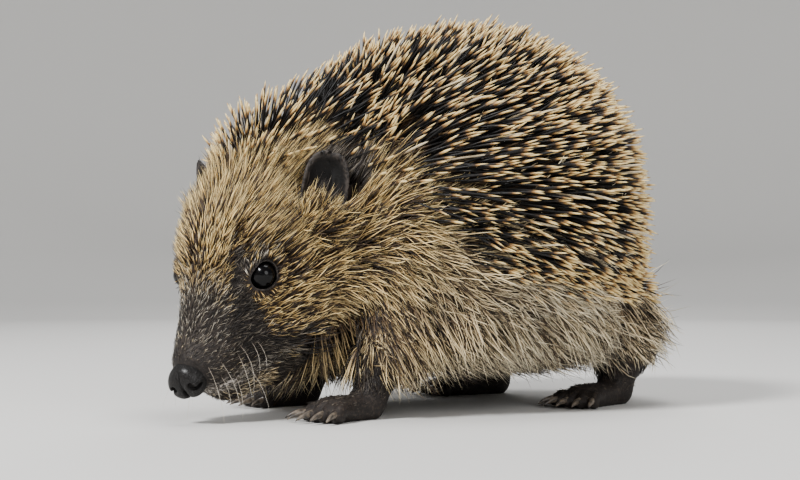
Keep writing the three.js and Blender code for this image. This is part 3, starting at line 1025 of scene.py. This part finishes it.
def head_lie(q):
    """Which way the head's hair lies, at places in the head's frame."""
    side = np.sign(q[:, :1])
    below = smooth(-q[:, 2], 0, 16)[:, None]
    high = side * (0.22, 0, 0) + (0, 1, 0)
    low = side * (0.15, 0, 0) + (0, 1, -0.25)
    return unit((high * (1 - below) + low * below) @ HEAD_TURNED.T)


def coat_lie(roots):
    """Which way the hair lies along the skin. It parts round the eyes."""
    t = on_head(roots.outer.T)[:, None]
    lie = head_lie(roots.head) * t + trunk_lie(roots.outer) * (1 - t)
    for eye in EYES.values():
        from_eye = roots.place - eye
        near = 1 - smooth(np.linalg.norm(from_eye, axis=1), 4.0, 7.5)
        against = np.maximum(-(unit(from_eye) * lie).sum(1), 0)
        lie = lie + unit(from_eye) * (near * (0.4 + 1.8 * against))[:, None]
    return flat_to(lie, roots.out)


def hair_density(p, n):
    """How much hair there is: 1 all over, except under the spines, on the soles, eyes, nose and ears."""
    overlap = 6.5 - 4.5 * smooth(-p[:, 1], 50, 60)
    below_spines = outer_points(p, n) - overlap[:, None] * (0, 0, 1)
    cover = 1 - 0.98 * above_spine_line(below_spines.T, 7.0)
    for name, side in SIDES:
        far = np.linalg.norm(p - EYES[name], axis=1) > 6.5
        cover = cover * ((lid_reach(p.T, side, EYES[name])[0] > 1.04) | far)
        cover = cover * ~on_ear(in_ear_axes(p, side))
    feet = np.maximum(smooth(p[:, 2], 8, 14), on_head(p.T) * (limbs_field(p.T) >= 2.5))
    nose = smooth(np.linalg.norm(p - NOSE_MIDDLE, axis=1), NOSE_RADIUS - 0.2, NOSE_RADIUS + 0.5)
    return cover * feet * nose


def region(p):
    """Shares of (forehead, face, cheek and neck, flank, belly) at points p."""
    q = to_head(p)
    head = on_head(p.T)
    face_start = 22 - 10 * dark_stripe(np.abs(q[:, 0]))
    face = head * smooth(-q[:, 1] - face_start, -4, 4)
    forehead = head * (1 - face / np.maximum(head, 1e-6)) * smooth(q[:, 2], -4, 4)
    neck_line = smooth(-p[:, 1], 16, 30)
    belly = smooth(-p[:, 2], -25, -17) * (1 - face)
    cheek = (1 - face - forehead) * np.maximum(head, neck_line) * (1 - belly)
    flank = (1 - head) * (1 - neck_line) * (1 - belly)
    return dict(forehead=forehead, face=face, cheek=cheek, flank=flank, belly=belly)


# ---- hair: the pieces
def cheek_mess(roots):
    """Orderly behind the eye, tousled on the neck."""
    return 0.30 + 0.34 * smooth(roots.head[:, 1], -10, 8) * (1 - smooth(roots.outer[:, 2], 46, 56))


# A length is stops of (distance ahead of the skull's centre, length); a lock is its spacing on the skin.
COATS = dict(
    flank=dict(per_mm=2.8, length=((0, 18),), width=0.31, lift=0.75, shape=LONG_SHAPE,
               lock=5.5, mess=0.52, hold=0.45),
    cheek=dict(per_mm=2.9, length=((-14, 14.0), (0, 12.0), (10, 8.0), (20, 5.0), (26, 4.0)),
               width=0.28, lift=0.75, shape=LONG_SHAPE, lock=3.5, mess=cheek_mess, hold=0.35),
    face=dict(per_mm=5.4, length=((8, 6.5), (16, 5.0), (24, 4.2), (32, 3.0), (42, 1.5)),
              width=0.155, lift=0.55, shape=FINE_SHAPE, mess=0.4),
    forehead=dict(per_mm=6.0, length=((-10, 11.0), (4, 9.6), (14, 7.6), (20, 6.2), (28, 4.6)),
                  width=0.22, lift=0.8, shape=SHORT_SHAPE, lock=2.4, mess=0.11, hold=0.4, stand=0.7),
    belly=dict(per_mm=0.4, length=((0, 13),), width=0.33, lift=0.7, shape=FINE_SHAPE, lock=4.5),
)


def make_hair(name, skin, material, part, side=0):
    """Hair over one region, on one side of the animal or on both, as COATS says."""
    grow_hair(name, skin, material, part, side, **COATS[part])


def grow_hair(name, skin, material, part, side, per_mm, length, width, lift, shape,
              lock=0, mess=0.2, hold=0.6, stand=0.0):

    def density(p, n):
        outer = outer_points(p, n)
        where = region(outer)[part] > rng.random(len(p)) * 0.8 + 0.1
        if side:
            head = on_head(outer.T)
            where = where & ((outer[:, 0] * (1 - head) + to_head(outer)[:, 0] * head) * side > 0)
        return per_mm * where * hair_density(p, n)

    roots = skin.sow(density)
    count = len(roots)
    length = at(-roots.head[:, 1], length) * rng.uniform(0.7, 1.15, count)
    length = length * (0.4 + 0.6 * smooth(eye_gap(roots.place), 4.2, 9))
    lift = lift * rng.uniform(0.5, 1.4, count)
    width = width * rng.uniform(0.8, 1.2, count)
    start, end = curved(roots, coat_lie(roots), lift, mess(roots) if callable(mess) else mess, stand)
    # A tip that would stand out of the envelope is shortened.
    tip = roots.place + length[:, None] * (start + end) / 2
    over = np.maximum(evaluate(coat_field, tip) - 0.8, 0)
    length = short_of(RUMP_HAIR_END, roots, start, end, np.maximum(length - over * 1.6, length * 0.55))
    free = clear_of_ears(roots, start, end, length, 6.0)
    roots, length, width, start, end = roots.pick(free, length, width, start, end)
    pull = None
    if lock:
        share = np.where(rng.random(len(roots)) < 0.85, hold, 0.05) * rng.uniform(0.6, 1.1, len(roots))
        pull = gather(roots, length, start, end, lock, share)
    make_strands(name, "hair", material, roots, length, width, start, end, shape, pull=pull)


def make_fringe(name, skin, material, side):
    """The long hair of the lower flank, which hangs to the coat's hem in loose locks."""

    def density(p, n):
        low = smooth(p[:, 2] - 0.7 * hem_height(p[:, 1]), 3, 6) * (1 - smooth(p[:, 2], 27, 38))
        trunk = on_head(outer_points(p, n).T) < 0.45
        return 1.75 * low * trunk * (p[:, 0] * side > 0) * (n[:, 2] < 0.6)

    roots = skin.sow(density)
    count = len(roots)
    y = roots.outer[:, 1]
    hang = flat_to(toward(y, FRINGE_HANG) * (side, 1, 1), roots.out)
    start, end = curved(roots, hang, rng.uniform(0.3, 1.0, count), 0.42)
    end = unit(end + np.array([0, 0.0, -0.22]))
    drop = roots.place[:, 2] - at(y, FRINGE_TIPS) - rng.uniform(-2.0, 8.0, count)
    length = np.clip(drop / np.maximum(-(start + end)[:, 2] / 2, 0.3), 7, 25)
    length = short_of(RUMP_HAIR_END, roots, start, end, length)
    share = np.where(rng.random(count) < 0.75, 0.58, 0.0) * rng.uniform(0.5, 1.1, count)
    pull = gather(roots, length, start, end, 6.0, share)
    width = rng.uniform(0.22, 0.36, count)
    make_strands(name, "hair", material, roots, length, width, start, end, FINE_SHAPE, pull=pull)


def make_fur(name, slot, material, roots, lie, lift, mess, scale, length, width):
    """Short hair that lies along the skin. lift, length and width are ranges, scale is for the length."""
    roots.out, roots.outer = roots.normal, roots.place
    start, end = curved(roots, flat_to(lie, roots.normal), rng.uniform(*lift, len(roots)), mess)
    length = scale * rng.uniform(*length, len(roots))
    width = rng.uniform(*width, len(roots))
    make_strands(name, slot, material, roots, length, width, start, end, SHORT_SHAPE)


def make_leg_hair(skin, material):
    """Short dark hair down the legs and over the tops of the feet."""

    def density(p, n):
        height = p[:, 2]
        leg = (limbs_field(p.T) < 0.5) & (height > 3.2) & (height < 24) & (n[:, 2] > -0.3)
        return (0.7 + 1.6 * smooth(height, 4, 10)) * leg

    roots = skin.sow(density)
    foot = (1 - smooth(roots.place[:, 2], 6, 11))[:, None]
    lie = np.array([0, 0.35, -0.9]) * (1 - foot) + np.array([0, -1.0, -0.15]) * foot
    scale = 4.2 - 2.4 * foot[:, 0]
    make_fur("hair_legs", "limb", material, roots, lie, (0.3, 0.9), 0.3, scale, (0.6, 1.2), (0.14, 0.2))


def make_ear_hair(skin, material):
    """Fine pale hairs on the ears' rims and in their hollows."""

    def density(p, n):
        return 0.5 * np.maximum(*(on_ear(in_ear_axes(p, side)) for _, side in SIDES))

    up = head_direction((0, 0.45, 0.9))
    roots = skin.sow(density)
    make_fur("hair_ears", "ear", material, roots, up, (0.2, 0.7), 0.35, 1, (1.0, 2.4), (0.05, 0.08))


def make_ear_tufts(skin, material):
    """Pale hair that rises before each ear, over the lower part of its hollow."""

    def density(p, n):
        tuft = np.zeros(len(p))
        for _, side in SIDES:
            e = in_ear_axes(p, side)
            place = ((e[:, 0] * side - 1.8) / 7.0) ** 2 + ((e[:, 2] + 0.6) / 3.6) ** 2
            tuft = np.maximum(tuft, (place < 1) & (e[:, 1] > -1.5) & (e[:, 1] < 6.5))
        return 3.4 * tuft

    roots = skin.sow(density)
    count = len(roots)
    side = np.sign(roots.head[:, :1])
    lie = sum((side == s) * (np.array([-0.34 * s, 0.12, 1.0]) @ ear_frame(s)[0]) for _, s in SIDES)
    out = sum((side == s) * ear_frame(s)[0][1] for _, s in SIDES)
    start = unit(lie + out * rng.uniform(0.0, 0.7, (count, 1)) + jitter(roots, 0.16))
    end = unit(lie - out * rng.uniform(-0.3, 0.3, (count, 1)) + jitter(roots, 0.26))
    places = (in_ear_axes(roots.place, s) - (4.0 * s, 2, 0) for _, s in SIDES)
    across = np.minimum(*(np.linalg.norm(place, axis=1) for place in places))
    length = rng.uniform(5.0, 9.5, count) * (1 - 0.45 * smooth(across, 3, 9))
    width = rng.uniform(0.13, 0.22, count)
    make_strands("hair_ear_tufts", "hair", material, roots, length, width, start, end, FINE_SHAPE)


def make_whiskers(skin, material):
    """Long pale hairs that hang from the upper lip."""

    def density(p, n):
        side, back, up = to_head(p).T
        return 0.055 * ((back < -24) & (back > -40) & (up > -17) & (up < -8) & (np.abs(side) > 3.5))

    roots = skin.sow(density)
    out = (np.sign(roots.head[:, :1]) * (0.55, 0, 0) + (0, 0.1, -0.45)) @ HEAD_TURNED.T
    start = unit(out * 0.7 + roots.normal * 0.4 + np.array([0, 0, -0.6]) + jitter(roots, 0.14))
    end = unit(np.array([0, -0.05, -1.0]) + jitter(roots, 0.14))
    length = rng.uniform(10, 18, len(roots))
    width = np.full(len(roots), 0.085)
    make_strands("whiskers", "hair", material, roots, length, width, start, end, WHISKER_SHAPE, sides=4)


def dress(skin, hair):
    for name, side in SIDES:
        make_hair(f"hair_flank_{name}", skin, hair, "flank", side)
        make_fringe(f"hair_fringe_{name}", skin, hair, side)
        make_hair(f"hair_cheek_{name}", skin, hair, "cheek", side)
        make_hair(f"hair_face_{name}", skin, hair, "face", side)
    make_hair("hair_forehead", skin, hair, "forehead")
    make_hair("hair_belly", skin, hair, "belly")
    make_leg_hair(skin, hair)
    make_ear_hair(skin, hair)
    make_ear_tufts(skin, hair)


# ---- materials
def linear(c):
    return c / 255 / 12.92 if c <= 10 else ((c / 255 + 0.055) / 1.055) ** 2.4


def colour(r, g, b):
    """A colour as the eye names it, 0 to 255, in the shader's linear scale."""
    return linear(r), linear(g), linear(b), 1


class Nodes:
    """A material's nodes, added and linked in one call each."""

    def __init__(self, name):
        self.material = bpy.data.materials.new(name)
        self.material.use_nodes = True
        self.tree = self.material.node_tree
        self.shader = self.tree.nodes["Principled BSDF"]

    def add(self, kind, inputs, **settings):
        made = self.tree.nodes.new("ShaderNode" + kind)
        for key, value in settings.items():
            setattr(made, key, value)
        for key, value in inputs.items():
            self.feed(made.inputs[key], value)
        return made

    def feed(self, socket, value):
        if isinstance(value, bpy.types.NodeSocket):
            self.tree.links.new(value, socket)
        else:
            socket.default_value = value

    def set(self, **inputs):
        for key, value in inputs.items():
            self.feed(self.shader.inputs[key.replace("_", " ")], value)

    def math(self, operation, a, b=0.0):
        return self.add("Math", {0: a, 1: b, 2: 0.0}, operation=operation).outputs[0]

    def less(self, a, b):
        return self.math("LESS_THAN", a, b)

    def more(self, a, b):
        return self.math("GREATER_THAN", a, b)

    def other_luck(self, luck, times):
        """Another number from 0 to 1 for each strand."""
        return self.math("FRACT", self.math("MULTIPLY", luck, times))

    def span(self, value, low, high, out_low=0.0, out_high=1.0):
        kept = {"Value": value, "From Min": low, "From Max": high, "To Min": out_low, "To Max": out_high}
        return self.add("MapRange", kept, interpolation_type="SMOOTHSTEP").outputs[0]

    def mix(self, share, a, b, blend_type="MIX"):
        """A mix of two colours, each a socket or (r, g, b)."""
        a, b = (colour(*c) if isinstance(c, tuple) else c for c in (a, b))
        return self.add("Mix", {0: share, 6: a, 7: b}, data_type="RGBA", blend_type=blend_type).outputs[2]

    def ramp(self, value, *stops):
        """A colour ramp through stops, each (place, (r, g, b))."""
        made = self.add("ValToRGB", {0: value})
        points = made.color_ramp.elements
        while len(points) < len(stops):
            points.new(0.5)
        for point, (place, rgb) in zip(points, stops):
            point.position = place
            point.color = colour(*rgb)
        return made.outputs[0]

    def attribute(self, name):
        vector = self.add("Attribute", {}, attribute_name=name).outputs["Vector"]
        return self.add("SeparateXYZ", {0: vector}).outputs

    def place(self):
        return self.add("TexCoord", {}).outputs["Object"]

    def noise(self, scale, detail=3.0, roughness=0.55, stretch=None):
        place = self.place()
        if stretch:
            place = self.add("Mapping", {"Vector": place, "Scale": stretch}).outputs[0]
        kept = {"Vector": place, "Scale": scale, "Detail": detail, "Roughness": roughness}
        return self.add("TexNoise", kept).outputs[0]

    def bump(self, height, strength, distance):
        return self.add("Bump", {"Height": height, "Strength": strength, "Distance": distance}).outputs[0]


SPINE_BANDS = (  # distance from the tip over 20 mm, colour
    (0.00, (190, 152, 98)),
    (0.03, (250, 228, 170)),
    (0.10, (240, 206, 136)),
    (0.145, (164, 124, 74)),
    (0.185, (52, 38, 25)),
    (0.24, (10, 8, 7)),
    (0.74, (12, 9, 8)),
    (0.86, (96, 76, 54)),
    (1.00, (150, 124, 90)),
)


def spine_material():
    """Dark spines with a pale tip and root, and a few pale ones among them."""
    n = Nodes("spine")
    along, luck, from_tip = n.attribute("strand")
    shifted = n.math("ADD", from_tip, n.span(luck, 0, 1, -0.8, 0.9))
    shade = n.ramp(n.math("DIVIDE", shifted, 20.0), *SPINE_BANDS)
    pale = n.more(luck, 0.975)
    shade = n.mix(pale, shade, n.ramp(along, (0, (150, 120, 85)), (1, (232, 216, 180))))
    mottle = n.noise(900, 2)
    shade = n.mix(n.span(mottle, 0.35, 0.7, 0.0, 0.25), shade, (40, 28, 20), "MULTIPLY")
    n.set(Base_Color=shade, Roughness=n.span(mottle, 0.3, 0.7, 0.42, 0.56), Specular_IOR_Level=0.3)
    n.set(Normal=n.bump(n.noise(2500, 1, 0.5, (1, 1, 1)), 0.15, 0.0001))
    return n.material


def hair_colour(n, along, luck, marks_and_shade):
    """Cream hairs with darker brown ones among them, grizzled on the snout, near black on the mask, and darker under
    the chin and towards the floor as painted shade.
    """
    dark, grey, gold = marks_and_shade
    golden = n.ramp(
        along, (0, (30, 21, 14)), (0.32, (92, 66, 36)), (0.62, (218, 182, 114)), (1, (250, 228, 166))
    )
    pale = n.ramp(
        along, (0, (38, 30, 24)), (0.25, (124, 104, 80)), (0.5, (240, 224, 188)), (1, (255, 252, 238))
    )
    brown = n.ramp(along, (0, (20, 15, 12)), (0.6, (50, 38, 28)), (1, (92, 72, 52)))
    frost = n.ramp(along, (0, (36, 31, 27)), (0.5, (130, 120, 104)), (1, (226, 218, 200)))
    soot = n.ramp(along, (0, (18, 15, 14)), (0.6, (32, 27, 25)), (1, (62, 53, 46)))
    base = n.mix(n.less(luck, n.span(gold, 0.86, 1, 0.36, 0.52)), n.mix(gold, pale, golden), brown)
    grizzled = n.mix(n.less(luck, 0.6), frost, soot)
    base = n.mix(n.more(grey, n.span(n.other_luck(luck, 53.0), 0, 1, 0.05, 0.75)), base, grizzled)
    flecked = n.mix(n.less(luck, 0.76), n.mix(0.65, frost, brown), soot)
    # The dark weight is the mask, and painted shade under the chin and towards the floor.
    return n.mix(n.more(dark, n.span(n.other_luck(luck, 17.0), 0, 1, 0.12, 0.78)), base, flecked)


def hair_material():
    """The colours of the coat's patterns and painted shade, each hair a little lighter or darker than its neighbour.
    """
    n = Nodes("hair")
    along, luck, _ = n.attribute("strand")
    shade = hair_colour(n, along, luck, n.attribute("marks_and_shade"))
    value = n.span(n.other_luck(luck, 37.0), 0, 1, 0.5, 1.4)
    shade = n.add("HueSaturation", {"Value": value, "Color": shade}).outputs[0]
    n.set(Base_Color=shade, Roughness=0.45, Specular_IOR_Level=0.4)
    return n.material


def skin_material():
    n = Nodes("skin")
    dark, grey, _ = n.attribute("marks_and_shade")
    rim, lips, hollow = n.attribute("bare")
    fine = n.noise(1400, 3)
    speckle = n.noise(1100, 2)
    base = n.mix(n.span(n.noise(160, 4), 0.35, 0.65), (30, 22, 18), (52, 39, 30))
    base = n.mix(n.math("MULTIPLY", grey, 0.5), base, (80, 72, 65))
    # The dark mask, and painted shade under the chin and towards the floor.
    base = n.mix(dark, base, n.mix(fine, (15, 12, 11), (38, 32, 29)))
    base = n.mix(n.span(fine, 0.5, 0.8, 0, 0.25), base, (110, 95, 80))
    base = n.mix(n.math("MULTIPLY", lips, n.span(speckle, 0.38, 0.56)), base, (168, 160, 152))
    # Painted shade: near black in the ears' hollows.
    base = n.mix(n.math("MULTIPLY", hollow, 0.92), base, (7, 6, 6))
    # The lids' dark rims, and a painted highlight as a lighter edge round the ears' openings.
    base = n.mix(rim, base, n.mix(n.span(speckle, 0.4, 0.6), (20, 17, 16), (62, 55, 50)))
    n.set(Base_Color=base, Roughness=n.span(rim, 0, 1, 0.66, 0.4), Specular_IOR_Level=0.3)
    wrinkle = n.noise(520, 4, 0.6, (1.0, 1.0, 2.2))
    n.set(Normal=n.bump(n.math("ADD", n.noise(1800, 3, 0.6), wrinkle), 0.5, 0.0003))
    return n.material


def eye_material():
    n = Nodes("eye")
    n.set(Base_Color=n.mix(n.span(n.noise(900, 4), 0.4, 0.7), (2, 2, 3), (7, 5, 5)), Roughness=0.25)
    n.set(Specular_IOR_Level=0.05, Coat_Weight=0.3, Coat_Roughness=0.015)
    return n.material


def nose_material():
    """Near black, damp and pebbled."""
    n = Nodes("nose")
    cells = n.add("TexVoronoi", {"Vector": n.place(), "Scale": 2300.0}, feature="DISTANCE_TO_EDGE")
    pebble = n.span(cells.outputs["Distance"], 0.0, 0.25)
    n.set(Base_Color=n.mix(n.noise(500, 3), (6, 5, 5), (24, 20, 18)), Specular_IOR_Level=0.3)
    n.set(Roughness=n.span(n.noise(300, 2), 0.35, 0.65, 0.38, 0.58))
    n.set(Coat_Weight=0.12, Coat_Roughness=0.25, Normal=n.bump(pebble, 0.9, 0.0003))
    return n.material


def claw_material():
    n = Nodes("claw")
    streak = n.noise(700, 4)
    n.set(Base_Color=n.mix(n.span(streak, 0.35, 0.7), (46, 41, 37), (118, 106, 92)), Roughness=0.38)
    n.set(Normal=n.bump(streak, 0.2, 0.0001))
    return n.material


def whisker_material():
    n = Nodes("whisker")
    along = n.attribute("strand")[0]
    n.set(Base_Color=n.ramp(along, (0, (120, 104, 88)), (0.4, (214, 204, 186)), (1, (236, 230, 216))))
    n.set(Roughness=0.4)
    return n.material


# ---- eyes, nose and claws
def make_eye(name, side, material, rings=48, segments=64):
    """The ball with its cornea, a low dome of its own over the front, turned round the way it faces."""
    vertices, corners, sizes = [], [], []
    last = 1 + (rings - 1) * segments
    for r in range(rings + 1):
        polar = math.pi * r / rings
        radius = EYE_RADIUS + 0.30 * math.exp(-((polar / 0.62) ** 2))
        wide = radius * math.sin(polar)
        around = [0.0] if r in (0, rings) else [2 * math.pi * k / segments for k in range(segments)]
        vertices += [(wide * math.cos(a), wide * math.sin(a), radius * math.cos(polar)) for a in around]
    for k in range(segments):
        on = (k + 1) % segments
        corners += [0, 1 + k, 1 + on, last - segments + on, last - segments + k, last]
        sizes += [3, 3]
        for a in range(1, last - segments, segments):
            corners += [a + k, a + segments + k, a + segments + on, a + on]
            sizes.append(4)
    turned = np.array(vertices) @ eye_axes(side) + EYES[name]
    piece = make_object(f"eyeball_{name}", turned, corners, sizes, material)
    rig.replaces(piece, f"eye_{name}")
    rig.slot(piece, "eye")


def nose_field(p):
    """The nose pad, with nostrils that open to the side as commas and a slit below."""
    q = NOSE_TURNED.T.astype(np.float32) @ (p - column(NOSE_MIDDLE))
    side = np.abs(q[0])
    halved = np.stack([side, q[1], q[2]])
    pad = blend_all([
        ellipsoid(halved, (0, 0.3, 0.3), (4.2, 4.3, 4.0)),
        ellipsoid(halved, (2.5, -0.9, -0.5), (2.2, 3.2, 2.9)),
        ellipsoid(halved, (1.2, -1.2, -2.6), (1.9, 2.4, 1.5)),
    ], 2.0)
    nostril = ellipsoid(halved, (2.5, -4.1, 0.1), (0.8, 1.5, 0.95))
    comma = ellipsoid(halved, (3.9, -2.9, -0.9), (1.4, 1.5, 0.5))
    pad = carve(pad, blend(nostril, comma, 0.6), 0.6)
    groove = np.maximum(side - 0.15, -(pad + 0.35))
    pad = carve(pad, np.maximum(groove, q[1] + 1.8), 0.7)
    slit = np.maximum(np.maximum(side - 0.2, q[2] + 1.0), q[1] + 2.6)
    return carve(pad, slit, 0.5)


def make_nose(material):
    low, high = NOSE_MIDDLE - 6.2, NOSE_MIDDLE + 6.2
    grid = [graded((low[k], 0.17), (high[k], None)) for k in range(3)]
    nose = make_quads("nose_pad", *surface(nose_field, grid), material)
    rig.replaces(nose, "nose")
    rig.slot(nose, "nose")


def make_claws(name, material, sides=8, stations=8):
    """Five narrow, curved claws of one foot, each from inside its toe to a point."""
    foot = FEET[name]
    points, corners, sizes = [], [], []
    angle = np.arange(sides) * 2 * math.pi / sides
    turned, counts, _ = strand_faces(stations, sides)
    for root, out, reach in toe_rays(foot):
        corners += (turned + len(points)).tolist()
        sizes += counts.tolist()
        across = np.array([-out[1], out[0], 0])
        for t in np.arange(stations) / stations:
            middle = toe_point(root, out, reach - 1.3 + (CLAW_LENGTH + 1.3) * t, 2.2 + 1.0 * t - 2.3 * t * t)
            wide, tall = 0.85 * (1 - t) ** 0.6 + 0.12, 1.05 * (1 - t) ** 0.7 + 0.12
            points += [middle + across * math.cos(a) * wide + (0, 0, math.sin(a) * tall) for a in angle]
        points.append(toe_point(root, out, reach + CLAW_LENGTH, 0.75))
    vertices = np.array(points) @ rotation_z(foot["turn"]).T + (foot["x"], foot["y"], 0.0)
    vertices[:, 2] = np.maximum(vertices[:, 2], 0.05)
    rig.slot(make_object(f"claws_{name}", vertices, corners, sizes, material), "claw")


# ---- light, floor and camera
CAMERA_AZIMUTH = math.radians(54)
CAMERA_ELEVATION = math.radians(5)
CAMERA_DISTANCE = 400.0
CAMERA_LENS = 62.6
AIM_UP, AIM_RIGHT = 47.6, -8.7
SWEEP = (  # radius and height, in metres
    (0.02, 0), (0.5, 0), (1.0, 0), (1.15, 0.015),
    (1.28, 0.07), (1.37, 0.17), (1.41, 0.30), (1.42, 0.46),
)
LIGHTS = (  # name, place, size in metres, power
    ("key", (0.15, -0.75, 0.8), 0.22, 18),
    ("fill", (0.9, -0.1, 0.45), 0.6, 4.5),
    ("top", (0.0, 0.15, 1.0), 0.5, 6),
    ("back", (-0.7, 0.6, 0.6), 0.5, 4),
)


def facing(way):
    """The turn that points a camera or a lamp along a way."""
    return Vector(way).to_track_quat("-Z", "Y").to_euler()


def make_camera():
    """Low in front of the animal's left side, a little above the floor."""
    level = np.array([math.sin(CAMERA_AZIMUTH), -math.cos(CAMERA_AZIMUTH), 0.0])
    away = level * math.cos(CAMERA_ELEVATION) + (0, 0, math.sin(CAMERA_ELEVATION))
    right = np.array([math.cos(CAMERA_AZIMUTH), math.sin(CAMERA_AZIMUTH), 0.0])
    aim = np.cross(away, right) * AIM_UP + right * AIM_RIGHT
    data = bpy.data.cameras.new("camera")
    data.lens = CAMERA_LENS
    data.clip_start = 0.01
    camera = put_in_scene("camera", data)
    camera.location = to_frame(away * CAMERA_DISTANCE)
    camera.rotation_euler = facing(aim - away * CAMERA_DISTANCE)
    bpy.context.scene.camera = camera


def make_light(name, place, size, power):
    data = bpy.data.lights.new(name, "AREA")
    data.shape = "DISK"
    data.size = size
    data.energy = power
    lamp = put_in_scene(name, data)
    lamp.location = place
    lamp.rotation_euler = facing(Vector((0, 0, 0.05)) - Vector(place))


def make_floor(segments=96):
    """A pale floor that sweeps up at its far edge."""
    n = Nodes("floor")
    n.set(Base_Color=(0.60, 0.59, 0.57, 1), Roughness=0.9)
    turn = np.arange(segments) * 2 * math.pi / segments
    points = [(r * math.cos(a), r * math.sin(a), z) for r, z in SWEEP for a in turn]
    faces = [tuple(range(segments))]
    for ring in range(len(SWEEP) - 1):
        for k in range(segments):
            a, b = ring * segments + k, ring * segments + (k + 1) % segments
            faces.append((a, a + segments, b + segments, b))
    mesh = bpy.data.meshes.new("floor")
    mesh.from_pydata(points, [], faces)
    mesh.materials.append(n.material)
    mesh.polygons.foreach_set("use_smooth", np.ones(len(faces), bool))
    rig.stage(put_in_scene("floor", mesh))


def make_studio():
    make_floor()
    world = bpy.data.worlds.new("studio")
    world.use_nodes = True
    background = world.node_tree.nodes["Background"]
    background.inputs["Color"].default_value = (0.80, 0.82, 0.85, 1)
    background.inputs["Strength"].default_value = 0.30
    bpy.context.scene.world = world
    for light in LIGHTS:
        make_light(*light)


def main():
    make_camera()
    make_studio()
    skin = make_skin(skin_material())
    for name, side in SIDES:
        make_eye(name, side, eye_material())
    make_nose(nose_material())
    claw = claw_material()
    for name in FEET:
        make_claws(name, claw)
    make_spines(skin, spine_material())
    dress(skin, hair_material())
    make_whiskers(skin, whisker_material())
    with open("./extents.json", "w") as out:
        json.dump({"cad": [list(c) for c in cad_bounds], "visual": [list(c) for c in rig.bounds()]}, out)


main()
